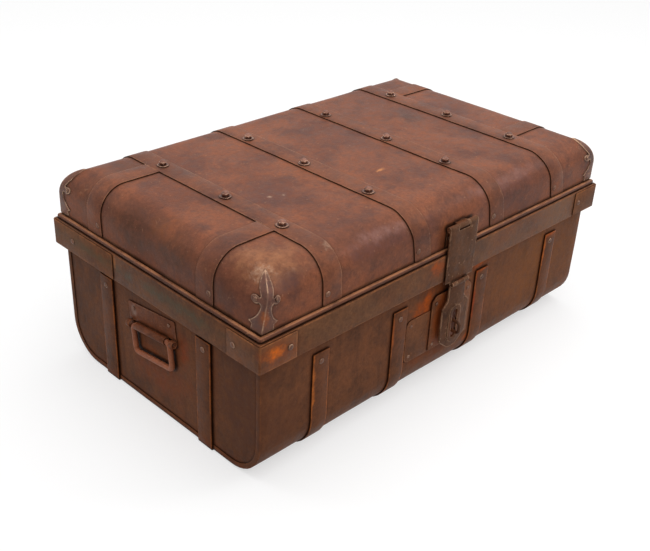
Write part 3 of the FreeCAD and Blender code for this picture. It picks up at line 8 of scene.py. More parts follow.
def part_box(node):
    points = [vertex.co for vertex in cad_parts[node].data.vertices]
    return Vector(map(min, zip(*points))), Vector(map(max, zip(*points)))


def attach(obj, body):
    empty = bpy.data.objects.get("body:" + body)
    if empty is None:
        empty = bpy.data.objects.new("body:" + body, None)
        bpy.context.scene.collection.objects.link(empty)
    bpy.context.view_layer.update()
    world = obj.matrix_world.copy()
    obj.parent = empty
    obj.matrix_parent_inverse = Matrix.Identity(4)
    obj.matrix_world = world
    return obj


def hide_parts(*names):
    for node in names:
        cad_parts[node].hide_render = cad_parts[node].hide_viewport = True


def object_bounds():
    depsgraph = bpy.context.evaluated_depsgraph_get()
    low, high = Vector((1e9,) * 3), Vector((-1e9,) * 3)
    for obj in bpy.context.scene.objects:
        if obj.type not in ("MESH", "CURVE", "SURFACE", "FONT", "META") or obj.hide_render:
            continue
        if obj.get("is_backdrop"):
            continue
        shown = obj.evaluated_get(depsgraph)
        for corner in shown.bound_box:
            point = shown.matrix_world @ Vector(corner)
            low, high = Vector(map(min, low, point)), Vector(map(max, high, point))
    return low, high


# An old trunk of riveted sheet steel: a tub of one bent sheet, a folded rim band, a lid with
# rolled edges, iron hoops and straps, a slotted hasp and two drop handles.
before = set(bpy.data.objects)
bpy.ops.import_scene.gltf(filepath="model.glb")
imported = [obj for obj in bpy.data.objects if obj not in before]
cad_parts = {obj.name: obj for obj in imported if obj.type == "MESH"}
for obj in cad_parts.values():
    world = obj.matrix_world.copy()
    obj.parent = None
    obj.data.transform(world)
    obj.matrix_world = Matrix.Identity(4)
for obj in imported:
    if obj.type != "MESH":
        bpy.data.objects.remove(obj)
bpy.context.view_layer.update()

# ------------------------------------------------------------------ body sheet
# One steel sheet bent up at front and back round two wide corners, its ends folded over the end
# panels as a narrow hem. Old brown paint, rubbed and rusted, on a sheet that is no longer flat.
BODY_ROUND = 0.058  # radius of the two lower corners
HEM = 0.008  # width of the folded ends
SHEET = 0.001  # thickness
SHEET_EDGE = 0.0003  # how far a cut edge is eased
NET = 0.016  # pitch of the net that a sheet is divided into
NEAR = 0.001  # an edge this near to a side of its piece's box lies on that side
STRAIGHT = 0.99  # a unit direction with this much along an axis runs along it
SMOOTH_ANGLE = math.radians(38)  # faces that meet more sharply than this keep their edge


def block(name, low, high):
    """A block between two corners, its place in its mesh."""
    bpy.ops.object.select_all(action="DESELECT")
    bpy.ops.mesh.primitive_cube_add(size=1)
    piece = bpy.context.object
    piece.name = piece.data.name = name
    bpy.ops.object.mode_set(mode="EDIT")
    bpy.ops.transform.resize(value=high - low)
    bpy.ops.transform.translate(value=(high + low) / 2)
    bpy.ops.object.mode_set(mode="OBJECT")
    return piece


def pick(piece, kind, wanted):
    """In edit mode, select the edges or faces whose middle and direction pass a test."""
    bpy.ops.mesh.select_mode(type=kind)
    bpy.ops.mesh.select_all(action="DESELECT")
    mesh = bmesh.from_edit_mesh(piece.data)
    if kind == "EDGE":
        for edge in mesh.edges:
            one, two = (v.co for v in edge.verts)
            edge.select_set(wanted((one + two) / 2, (two - one).normalized()))
    else:
        for face in mesh.faces:
            face.select_set(wanted(face.calc_center_median(), face.normal))
    bmesh.update_edit_mesh(piece.data)


def roll_edges(piece, radius, wanted, steps=10):
    """In edit mode, bend the chosen edges to a radius."""
    pick(piece, "EDGE", wanted)
    bpy.ops.mesh.bevel(offset=radius, segments=steps, affect="EDGES")


def open_side(piece, wanted):
    """Take the chosen faces away."""
    pick(piece, "FACE", wanted)
    bpy.ops.mesh.delete(type="FACE")


def divide(low, high):
    """In edit mode, cut the sheet into an even net, so that it can be dented and warped."""
    for axis in range(3):
        count = max(1, round((high[axis] - low[axis]) / NET))
        for step in range(1, count):
            place = [0.0, 0.0, 0.0]
            place[axis] = low[axis] + (high[axis] - low[axis]) * step / count
            way = [0.0, 0.0, 0.0]
            way[axis] = 1.0
            bpy.ops.mesh.select_all(action="SELECT")
            bpy.ops.mesh.bisect(plane_co=place, plane_no=way)


def wave(name, size):
    """A slow cloud pattern."""
    texture = bpy.data.textures.new(name, type="CLOUDS")
    texture.noise_scale = size
    texture.noise_depth = 1
    return texture


# Along each axis: the pattern, its depth, and the level of it that stays where it is. The top only
# sinks, so that the lid grows no higher.
WAVES = {
    "X": (wave("end_waves", 0.13), 0.0016, 0.5),
    "Y": (wave("side_waves", 0.15), 0.0018, 0.5),
    "Z": (wave("top_waves", 0.12), 0.0016, 1.0),
}


def use(piece):
    """Make a piece the only one selected."""
    bpy.ops.object.select_all(action="DESELECT")
    piece.select_set(True)
    bpy.context.view_layer.objects.active = piece


def modify(piece, name, kind, **settings):
    """Add a modifier with these settings and apply it."""
    use(piece)
    modifier = piece.modifiers.new(name, kind)
    for setting, value in settings.items():
        setattr(modifier, setting, value)
    bpy.ops.object.modifier_apply(modifier=modifier.name)


def warp(piece, ways):
    """The unevenness that all pieces fixed to each other share, along the given axes."""
    for way in ways:
        texture, depth, level = WAVES[way]
        modify(piece, f"warp_{way}", "DISPLACE", texture=texture, texture_coords="GLOBAL",
               direction=way, strength=depth, mid_level=level)


def thicken(piece, thickness, edge):
    """Give a sheet its thickness, inwards, and ease its edges."""
    modify(piece, "thickness", "SOLIDIFY", thickness=thickness, offset=-1.0, use_even_offset=True)
    ease(piece, edge)


def ease(piece, edge):
    """Round sharp edges by a little."""
    modify(piece, "eased_edges", "BEVEL", width=edge, segments=2, limit_method="ANGLE",
           angle_limit=SMOOTH_ANGLE, use_clamp_overlap=True)
    shade(piece)


def shade(piece):
    """Shade a piece smooth between its sharp edges."""
    use(piece)
    bpy.ops.object.shade_smooth_by_angle(angle=SMOOTH_ANGLE)


def lies_along(axis):
    """A test of whether a direction runs along an axis."""
    return lambda way: abs(way[axis]) > STRAIGHT


along_x = lies_along(0)
along_y = lies_along(1)

low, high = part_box("body_wrap")
body_sheet = block("body_sheet", low, high)
bpy.ops.object.mode_set(mode="EDIT")
roll_edges(body_sheet, BODY_ROUND, lambda at, way: along_x(way) and at.z < low.z + NEAR)
open_side(body_sheet, lambda at, way: way.z > STRAIGHT)
pick(body_sheet, "FACE", lambda at, way: along_x(way))
bpy.ops.mesh.inset(thickness=HEM, use_boundary=False)
bpy.ops.mesh.delete(type="FACE")
divide(low, high)
bpy.ops.object.mode_set(mode="OBJECT")
warp(body_sheet, "XY")
thicken(body_sheet, SHEET, SHEET_EDGE)


def tone(red, green, blue):
    """A colour given as 0 to 255 on screen, in the linear values that a shader takes."""
    def linear(part):
        part /= 255
        return part / 12.92 if part <= 0.04045 else ((part + 0.055) / 1.055) ** 2.4
    return (linear(red), linear(green), linear(blue), 1.0)


class Nodes:
    """Short ways to add and link nodes in a tree."""

    def __init__(self, tree):
        self.tree = tree

    def add(self, kind, inputs=None, **settings):
        """A node with its settings; each input is a plain value or another node's output."""
        node = self.tree.nodes.new(kind)
        for setting, value in settings.items():
            setattr(node, setting, value)
        for name, value in (inputs or {}).items():
            self.feed(node.inputs[name], value)
        return node

    def feed(self, socket, value):
        """Link an output to a socket, or set the socket to a plain value."""
        if isinstance(value, bpy.types.NodeSocket):
            self.tree.links.new(value, socket)
        else:
            socket.default_value = value

    def vector(self, operation, *inputs):
        """Arithmetic with places and directions."""
        return self.add("ShaderNodeVectorMath", dict(enumerate(inputs)), operation=operation)

    def moved(self, place, way):
        """The same place further along, so that two patterns don't fall on each other."""
        return self.vector("ADD", place, (way, way, way)).outputs[0]

    def noise(self, place, scale, detail, roughness):
        """A cloud pattern of 0 to 1."""
        return self.add("ShaderNodeTexNoise", {"Vector": place, "Scale": scale, "Detail": detail,
                                               "Roughness": roughness}).outputs["Fac"]

    def ragged(self, place, scale, depth):
        """A cloud pattern about 0 that makes a border uneven."""
        return self.times(self.minus(self.noise(place, scale, detail=6.0, roughness=0.7), 0.5), depth)

    def ramp(self, value, low, high, to_low=0.0, to_high=1.0):
        """A value eased from one range to another."""
        return self.add("ShaderNodeMapRange", {"Value": value, "From Min": low, "From Max": high,
                                               "To Min": to_low, "To Max": to_high},
                        interpolation_type="SMOOTHSTEP").outputs["Result"]

    def arithmetic(self, operation, one, two):
        """Arithmetic with two values."""
        return self.add("ShaderNodeMath", {0: one, 1: two}, operation=operation).outputs[0]

    def plus(self, one, two):
        return self.arithmetic("ADD", one, two)

    def minus(self, one, two):
        return self.arithmetic("SUBTRACT", one, two)

    def times(self, one, two):
        return self.arithmetic("MULTIPLY", one, two)

    def larger(self, one, two):
        return self.arithmetic("MAXIMUM", one, two)

    def mix(self, share, one, two, blend="MIX"):
        """Two colours mixed by a share. On this node, the sockets for colours are 6, 7 and 2."""
        node = self.add("ShaderNodeMix", {0: share, 6: one, 7: two}, data_type="RGBA", blend_type=blend)
        return node.outputs[2]


def effect(name, inputs, outputs):
    """A node group with named sockets: the group, its nodes, what it is given and what it puts out."""
    group = bpy.data.node_groups.new(name, "ShaderNodeTree")
    for way, sockets in (("INPUT", inputs), ("OUTPUT", outputs)):
        for socket_name, kind, value in sockets:
            socket = group.interface.new_socket(socket_name, in_out=way,
                                                socket_type=f"NodeSocket{kind}")
            if value is not None:
                socket.default_value = value
    nodes = Nodes(group)
    return group, nodes, nodes.add("NodeGroupInput").outputs, nodes.add("NodeGroupOutput").inputs


# Brown paint that has faded in clouds, gone dull in patches and down the walls in runs, with a
# fine grain, dark specks and rust coming through.
RUN_STRETCH = (70.0, 70.0, 7.0)
RUST_LEVEL = 0.80  # where in its cloud rust starts, less the lowering that more rust brings
RUST_LOWERING = 0.42
RUST_SOFTNESS = 0.15
RUST_COVER = 0.8
SPECK_COVER = 0.5
RUST_ROUGH = 0.2
MOTTLED_HEIGHT = 1.3
GRIT_HEIGHT = 0.6
FINE_HEIGHT = 0.35
PIT_DEPTH = 0.12

old_paint, n, given, out = effect("old_paint", [
    ("Place", "Vector", None), ("Paint", "Color", None), ("Faded", "Color", None),
    ("Dark", "Color", None), ("Rust", "Color", None), ("Rust Share", "Float", 0.3),
    ("Mottling", "Float", 0.5), ("Streaks", "Float", 0.0),
], [("Color", "Color", None), ("Roughness", "Float", None), ("Height", "Float", None)])
place = given["Place"]
clouds = n.ramp(n.noise(place, scale=6.5, detail=5.0, roughness=0.6), low=0.36, high=0.64)
patches = n.noise(n.moved(place, 3.1), scale=17.0, detail=7.0, roughness=0.68)
patches = n.ramp(patches, low=0.47, high=0.66)
mottled = n.noise(n.moved(place, 7.7), scale=75.0, detail=6.0, roughness=0.72)
grit = n.noise(n.moved(place, 9.1), scale=210.0, detail=4.0, roughness=0.7)
fine = n.noise(place, scale=520.0, detail=3.0, roughness=0.65)
down_walls = n.vector("MULTIPLY", place, RUN_STRETCH).outputs[0]
runs = n.ramp(n.noise(down_walls, scale=1.0, detail=5.0, roughness=0.6), low=0.48, high=0.72)
rust_cloud = n.noise(n.moved(place, 1.3), scale=13.0, detail=10.0, roughness=0.74)
rust_start = n.minus(RUST_LEVEL, n.times(given["Rust Share"], RUST_LOWERING))
rust = n.ramp(rust_cloud, low=rust_start, high=n.plus(rust_start, RUST_SOFTNESS))
specks = n.ramp(n.noise(place, scale=260.0, detail=2.0, roughness=0.5), low=0.66, high=0.73)
colour = n.mix(clouds, given["Paint"], given["Faded"])
colour = n.mix(n.times(patches, given["Mottling"]), colour, given["Dark"])
colour = n.mix(n.times(runs, given["Streaks"]), colour, given["Dark"])
colour = n.mix(n.times(rust, RUST_COVER), colour, given["Rust"])
colour = n.mix(n.times(specks, SPECK_COVER), colour, given["Dark"])
grain = n.plus(n.ramp(grit, low=0.32, high=0.68, to_low=-0.10, to_high=0.10),
               n.ramp(fine, low=0.3, high=0.7, to_low=-0.08, to_high=0.08))
grain = n.plus(n.ramp(mottled, low=0.30, high=0.70, to_low=0.79, to_high=1.18), grain)
n.feed(out["Color"], n.mix(1.0, colour, grain, "MULTIPLY"))
rough = n.ramp(mottled, low=0.3, high=0.7, to_low=0.37, to_high=0.57)
n.feed(out["Roughness"], n.plus(rough, n.times(rust, RUST_ROUGH)))
bumps = n.plus(n.times(mottled, MOTTLED_HEIGHT), n.times(fine, FINE_HEIGHT))
bumps = n.plus(bumps, n.times(grit, GRIT_HEIGHT))
n.feed(out["Height"], n.minus(bumps, n.times(n.plus(rust, specks), PIT_DEPTH)))

# Where hands and other boxes have rubbed an edge, and a painted highlight along edges and ridges.
rubbed_and_highlit_edges, n, given, out = effect("rubbed_and_highlit_edges", [
    ("Place", "Vector", None), ("Width", "Float", 0.002), ("Amount", "Float", 1.0),
], [("Mask", "Float", None)])
rounded = n.add("ShaderNodeBevel", {"Radius": given["Width"]}, samples=4)
surface = n.add("ShaderNodeNewGeometry")
facing = n.vector("DOT_PRODUCT", rounded.outputs["Normal"], surface.outputs["Normal"])
edge_mask = n.ramp(facing.outputs["Value"], low=0.998, high=0.93)
broken = n.noise(given["Place"], scale=34.0, detail=7.0, roughness=0.74)
broken = n.ramp(broken, low=0.42, high=0.58, to_low=0.12)
n.feed(out["Mask"], n.times(n.times(edge_mask, broken), given["Amount"]))

# Near-black darkening in corners and beside laps, partly packed dirt and partly painted shade, and the
# rust that creeps out round it.
CREEP_REACH = 4.0

corner_shade_and_dirt, n, given, out = effect("corner_shade_and_dirt", [
    ("Place", "Vector", None), ("Reach", "Float", 0.006),
], [("Shade And Dirt", "Float", None), ("Creep", "Float", None)])
tight = n.add("ShaderNodeAmbientOcclusion", {"Distance": given["Reach"]}, samples=6)
n.feed(out["Shade And Dirt"], n.ramp(tight.outputs["AO"], low=0.955, high=0.74))
wide_reach = n.times(given["Reach"], CREEP_REACH)
wide = n.add("ShaderNodeAmbientOcclusion", {"Distance": wide_reach}, samples=4)
creep = n.plus(wide.outputs["AO"], n.ragged(given["Place"], scale=60.0, depth=0.7))
n.feed(out["Creep"], n.ramp(creep, low=0.92, high=0.62))

# Fine pale scratches that cross each other, and tiny chips.
SCRATCH_BEND = (0.05, 0.05, 0.05)

scratches, n, given, out = effect("scratches", [
    ("Place", "Vector", None), ("Size", "Float", 28.0), ("Amount", "Float", 0.5),
], [("Mask", "Float", None)])
place = given["Place"]
bend = n.add("ShaderNodeTexNoise", {"Vector": place, "Scale": 30.0}).outputs["Color"]
bent = n.vector("MULTIPLY_ADD", bend, SCRATCH_BEND, place).outputs[0]
cracks = n.add("ShaderNodeTexVoronoi", {"Vector": bent, "Scale": given["Size"]},
               feature="DISTANCE_TO_EDGE")
lines = n.ramp(cracks.outputs["Distance"], low=0.03, high=0.008)
shown = n.noise(n.moved(place, 5.3), scale=70.0, detail=4.0, roughness=0.7)
shown = n.ramp(shown, low=0.56, high=0.68)
chips = n.noise(n.moved(place, 2.9), scale=210.0, detail=2.0, roughness=0.4)
chips = n.ramp(chips, low=0.715, high=0.75)
n.feed(out["Mask"], n.times(n.larger(n.times(lines, shown), chips), given["Amount"]))

# A stain, a worn spot, a painted highlight or a patch of painted shade round one place, ragged at its
# border and uneven inside.
spot, n, given, out = effect("spot", [
    ("Place", "Vector", None), ("Middle", "Vector", None), ("Reach", "Vector", None),
    ("Amount", "Float", 1.0), ("Grain", "Float", 30.0),
], [("Mask", "Float", None)])
place = given["Place"]
away = n.vector("SUBTRACT", place, given["Middle"]).outputs[0]
away = n.vector("DIVIDE", away, given["Reach"]).outputs[0]
distance = n.vector("LENGTH", away).outputs["Value"]
near_it = n.ramp(n.plus(distance, n.ragged(place, scale=given["Grain"], depth=2.4)), low=1.05, high=0.1)
uneven = n.noise(n.moved(place, 4.7), scale=95.0, detail=5.0, roughness=0.7)
uneven = n.ramp(uneven, low=0.32, high=0.66, to_low=0.35)
n.feed(out["Mask"], n.times(n.times(near_it, uneven), given["Amount"]))

# Near black, for dirt and painted shade in corners and beside laps.
SHADE_AND_GRIME = tone(34, 19, 12)
CREEP_COVER = 0.45
RELIEF = 0.0012


def aged(name, paint, faded, dark, rust, bare_and_highlight, rust_share=0.4, mottling=0.5, streaks=0.0,
         edge_width=0.003, edge_amount=0.8, spots=(), bump=0.35, gloss=0.15, corner_reach=0.006,
         shade_and_dirt=0.9, scratch_size=28.0, scratched=0.3, metal=0.0):
    """A material of old paint with edges rubbed bare and lightened as a painted highlight, corners
    darkened by dirt and painted shade, and spots.

    A spot is its middle, its reach along each axis, its colour, its amount and its grain.
    """
    material = bpy.data.materials.new(name)
    material.use_nodes = True
    n = Nodes(material.node_tree)
    shader = material.node_tree.nodes["Principled BSDF"].inputs
    shader["Specular IOR Level"].default_value = gloss
    shader["Metallic"].default_value = metal
    place = n.add("ShaderNodeTexCoord").outputs["Object"]

    def put(group, **inputs):
        """One of the effects, its sockets named with _ for a space."""
        sockets = {socket.replace("_", " "): value for socket, value in inputs.items()}
        return n.add("ShaderNodeGroup", {"Place": place, **sockets}, node_tree=group).outputs

    coat = put(old_paint, Paint=paint, Faded=faded, Dark=dark, Rust=rust, Rust_Share=rust_share,
               Mottling=mottling, Streaks=streaks)
    colour = coat["Color"]
    for middle, reach, spot_colour, amount, spot_grain in spots:
        mark = put(spot, Middle=middle, Reach=reach, Amount=amount, Grain=spot_grain)
        colour = n.mix(mark["Mask"], colour, spot_colour)
    corners = put(corner_shade_and_dirt, Reach=corner_reach)
    colour = n.mix(n.times(corners["Creep"], CREEP_COVER), colour, rust)
    marks = put(scratches, Size=scratch_size, Amount=scratched)
    colour = n.mix(marks["Mask"], colour, bare_and_highlight)
    # Edges lightened: partly rubbed bare, partly a painted highlight.
    edges = put(rubbed_and_highlit_edges, Width=edge_width, Amount=edge_amount)
    colour = n.mix(edges["Mask"], colour, bare_and_highlight)
    # Corners and laps darkened towards near black: dirt, and painted shade where the shade falls.
    colour = n.mix(n.times(corners["Shade And Dirt"], shade_and_dirt), colour, SHADE_AND_GRIME)
    relief = n.add("ShaderNodeBump", {"Strength": bump, "Distance": RELIEF, "Height": coat["Height"]})
    n.feed(shader["Base Color"], colour)
    n.feed(shader["Roughness"], coat["Roughness"])
    n.feed(shader["Normal"], relief.outputs["Normal"])
    return material


RUST_ORANGE = tone(186, 84, 22)
RUST_BROWN = tone(134, 68, 34)
BARE_BROWN = tone(170, 100, 56)
WARM_BROWN = tone(134, 80, 38)
BODY_MARKS = (
    ((0.24, -0.222, 0.12), (0.16, 0.05, 0.12), WARM_BROWN, 0.65, 9.0),
    ((-0.02, -0.222, 0.10), (0.11, 0.03, 0.08), RUST_BROWN, 0.7, 26.0),
    ((-0.040, -0.222, 0.155), (0.036, 0.03, 0.036), RUST_ORANGE, 0.95, 55.0),
    ((0.084, -0.222, 0.180), (0.024, 0.02, 0.010), RUST_ORANGE, 0.9, 60.0),
    ((0.070, -0.222, 0.050), (0.014, 0.02, 0.014), RUST_ORANGE, 0.8, 80.0),
    ((-0.3685, -0.005, 0.070), (0.02, 0.09, 0.050), tone(142, 68, 36), 0.6, 30.0),
    ((-0.3685, -0.060, 0.135), (0.02, 0.016, 0.040), tone(150, 66, 34), 0.6, 50.0),
    # Darker round the front left corner of the body, down most of its height.
    ((-0.3685, -0.190, 0.100), (0.10, 0.07, 0.16), tone(92, 55, 38), 0.8, 10.0),
)
body_paint = aged("body_paint", paint=tone(108, 66, 42), faded=tone(120, 74, 48),
                  dark=tone(80, 51, 36), rust=RUST_BROWN, bare_and_highlight=BARE_BROWN, rust_share=0.32,
                  mottling=0.55, streaks=0.5, edge_amount=0.4, gloss=0.05, spots=BODY_MARKS,
                  scratched=0.12)


def fix(piece, material, body, slot, *nodes):
    """Paint a piece, fix it to its body and let it stand for its nodes."""
    piece.data.materials.clear()
    piece.data.materials.append(material)
    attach(piece, body)
    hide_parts(*nodes)


fix(body_sheet, body_paint, "trunk", "body_sheet", "body_wrap")

# ------------------------------------------------------------------ end panels
# Each end is a shallow pan pressed from the same steel sheet. Its flange sits inside the body sheet,
# whose hem is folded over it, and it has the same paint.
PAN_ROUND = 0.0569
INWARDS = {"left": 1, "right": -1}

for side, inner in INWARDS.items():
    low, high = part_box(f"{side}_end_panel")
    pan = block(f"{side}_end_sheet", low, high)
    bpy.ops.object.mode_set(mode="EDIT")
    roll_edges(pan, PAN_ROUND, lambda at, way: along_x(way) and at.z < low.z + NEAR)
    open_side(pan, lambda at, way: way.z > STRAIGHT or way.x * inner > STRAIGHT)
    divide(low, high)
    bpy.ops.object.mode_set(mode="OBJECT")
    warp(pan, "XY")
    thicken(pan, SHEET, SHEET_EDGE)
    fix(pan, body_paint, "trunk", "body_sheet", f"{side}_end_panel")

# ------------------------------------------------------------------ body hoops and end straps
# Strap iron bent round the body, down the front, under the bottom and up the back, and shorter
# straps down the ends, turned under. Rubbed to the metal along their edges.
HOOP = 0.0025  # thickness
HOOP_ROUND = 0.0606
STRAP_TURN = 0.003  # radius of the end straps where they turn under
TURN_STEPS = 4
IRON_EDGE = 0.0006  # how far the edges of strap iron are worn round
HOOP_STAINS = (
    ((-0.2765, -0.2236, 0.125), (0.0055, 0.02, 0.055), tone(224, 122, 48), 1.0, 50.0),
    ((-0.1175, -0.2236, 0.135), (0.0045, 0.02, 0.040), tone(190, 96, 40), 0.9, 50.0),
    ((0.088, -0.2236, 0.170), (0.020, 0.02, 0.006), RUST_ORANGE, 0.9, 60.0),
    ((0.0735, -0.2236, 0.120), (0.0055, 0.02, 0.060), tone(168, 62, 24), 1.0, 40.0),
    ((0.276, -0.2236, 0.169), (0.020, 0.02, 0.006), RUST_ORANGE, 0.8, 60.0),
    ((0.2615, -0.2236, 0.140), (0.0050, 0.02, 0.045), tone(206, 108, 44), 1.0, 50.0),
)
hoop_paint = aged("hoop_paint", paint=tone(103, 62, 39), faded=tone(115, 69, 44),
                  dark=tone(76, 47, 32), rust=RUST_BROWN, bare_and_highlight=tone(200, 112, 52), rust_share=0.5,
                  mottling=0.6, streaks=0.3, edge_width=0.004, edge_amount=1.0, gloss=0.07,
                  spots=HOOP_STAINS, scratched=0.12)

for number in range(1, 5):
    low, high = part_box(f"body_hoop_{number}")
    hoop = block(f"hoop_{number}", low, high)
    bpy.ops.object.mode_set(mode="EDIT")
    roll_edges(hoop, HOOP_ROUND, lambda at, way: along_x(way) and at.z < low.z + NEAR)
    open_side(hoop, lambda at, way: way.z > STRAIGHT or along_x(way))
    divide(low, high)
    bpy.ops.object.mode_set(mode="OBJECT")
    warp(hoop, "XY")
    thicken(hoop, HOOP, IRON_EDGE)
    fix(hoop, hoop_paint, "trunk", "strap_iron", f"body_hoop_{number}")

for side, inner in INWARDS.items():
    for depth in ("front", "back"):
        low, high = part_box(f"{side}_end_hoop_{depth}")
        strap = block(f"{side}_end_strap_{depth}", low, high)
        outer = low.x if side == "left" else high.x
        bpy.ops.object.mode_set(mode="EDIT")
        roll_edges(strap, STRAP_TURN, lambda at, way: along_y(way) and at.z < low.z + NEAR
                   and abs(at.x - outer) < NEAR, steps=TURN_STEPS)
        open_side(strap, lambda at, way: way.z > STRAIGHT or way.x * inner > STRAIGHT or along_y(way))
        divide(low, high)
        bpy.ops.object.mode_set(mode="OBJECT")
        warp(strap, "XY")
        thicken(strap, HOOP, IRON_EDGE)
        fix(strap, hoop_paint, "trunk", "strap_iron", f"{side}_end_hoop_{depth}")

# ------------------------------------------------------------------ rim band and its corner plates
# Angle iron folded to a ledge and a skirt round the mouth, with bent plates riveted over the
# corners. The worst rust sits on the front left corner.
WELD = 0.00001  # points this near to each other are one
FLAT = math.radians(1.0)  # triangles that meet more gently than this are one face


def copy_of(node, name):
    """The CAD piece as a mesh of whole faces, joined along its edges."""
    piece = bpy.data.objects.new(name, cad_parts[node].data.copy())
    piece.data.name = name
    bpy.context.scene.collection.objects.link(piece)
    use(piece)
    bpy.ops.object.mode_set(mode="EDIT")
    bpy.ops.mesh.select_all(action="SELECT")
    bpy.ops.mesh.remove_doubles(threshold=WELD)
    bpy.ops.mesh.dissolve_limited(angle_limit=FLAT)
    bpy.ops.object.mode_set(mode="OBJECT")
    return piece


RIM_SKIRT_SHEEN = tone(90, 78, 58)
RIM_STAINS_AND_HIGHLIGHTS = (
    ((-0.350, -0.234, 0.212), (0.046, 0.02, 0.030), RUST_BROWN, 0.8, 40.0),
    ((-0.357, -0.234, 0.213), (0.020, 0.02, 0.013), tone(226, 112, 30), 0.95, 70.0),
    ((-0.040, -0.233, 0.221), (0.022, 0.02, 0.020), RUST_ORANGE, 0.75, 60.0),
    # A painted highlight: a grey-green band of reflected light along the left skirt.
    ((-0.382, 0.13, 0.214), (0.02, 0.11, 0.013), RIM_SKIRT_SHEEN, 0.9, 30.0),
    ((-0.382, -0.06, 0.214), (0.02, 0.15, 0.013), RIM_SKIRT_SHEEN, 0.9, 30.0),
    # A painted highlight where the end of the back left corner plate catches the light.
    ((-0.382, 0.0765, 0.222), (0.02, 0.004, 0.014), tone(196, 118, 58), 0.8, 60.0),
)
rim_paint = aged("rim_paint", paint=tone(114, 69, 44), faded=tone(120, 80, 54),
                 dark=tone(80, 54, 40), rust=RUST_BROWN, bare_and_highlight=tone(184, 116, 70), rust_share=0.4,
                 mottling=0.6, streaks=0.2, edge_amount=0.9, gloss=0.08, spots=RIM_STAINS_AND_HIGHLIGHTS,
                 scratched=0.25)

for where in ("front", "back", "left", "right"):
    rim = copy_of(f"rim_{where}", f"rim_band_{where}")
    ease(rim, IRON_EDGE)
    fix(rim, rim_paint, "trunk", "rim_iron", f"rim_{where}")
for depth in ("front", "back"):
    for side in ("left", "right"):
        plate = copy_of(f"rim_corner_{depth}_{side}", f"rim_plate_{depth}_{side}")
        ease(plate, IRON_EDGE / 2)
        fix(plate, rim_paint, "trunk", "rim_iron", f"rim_corner_{depth}_{side}")

# ------------------------------------------------------------------ lid sheet and wired edge
# The lid is one sheet with its edges rolled down to a wide radius and mitred at the corners; its
# lower edge is rolled round a wire. The front left corner is knocked in and rubbed.
LID_ROUND = 0.042
LID_STEPS = 12

# Each dent or swell is its place, how far it is knocked and its reach.
LID_DENTS = (
    ((-0.371, -0.223, 0.300), (0.010, -0.001, -0.001), 0.075),
    ((-0.340, -0.200, 0.312), (0.002, 0.003, -0.005), 0.040),
    ((-0.330, -0.214, 0.296), (-0.001, 0.004, -0.002), 0.030),
    ((-0.362, -0.175, 0.296), (0.003, 0.0, -0.003), 0.030),
    ((-0.362, 0.02, 0.300), (0.004, 0.0, -0.003), 0.09),
)
LID_SWELLS = [
    ((across, deep, 0.316), (0.0, 0.0, 0.0014), 0.062)
    for across in (-0.166, 0.006, 0.173)
    for deep in (-0.10, 0.06)
]


def knock(piece, place, way, reach):
    """A dent: what lies within reach of a place moves by way, less and less outwards."""
    ends = []
    for end_place in (Vector(place), Vector(place) + Vector(way)):
        bpy.ops.object.select_all(action="DESELECT")
        bpy.ops.object.empty_add(location=end_place)
        ends.append(bpy.context.object)
    modify(piece, "dent", "WARP", object_from=ends[0], object_to=ends[1], strength=1.0,
           falloff_type="SMOOTH", falloff_radius=reach, use_volume_preserve=False)
    for end in ends:
        bpy.data.objects.remove(end)


def batter(piece):
    """Give a piece of the lid the dents that the lid has there."""
    for dent in LID_DENTS:
        knock(piece, *dent)


low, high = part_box("lid_shell")
lid_sheet = block("lid_sheet", low, high)
bpy.ops.object.mode_set(mode="EDIT")
roll_edges(lid_sheet, LID_ROUND, lambda at, way: at.z > high.z - NEAR, steps=LID_STEPS)
open_side(lid_sheet, lambda at, way: way.z < -STRAIGHT)
divide(low, high)
bpy.ops.object.mode_set(mode="OBJECT")
warp(lid_sheet, "XYZ")
batter(lid_sheet)
for swell in LID_SWELLS:
    knock(lid_sheet, *swell)
thicken(lid_sheet, SHEET, SHEET_EDGE)

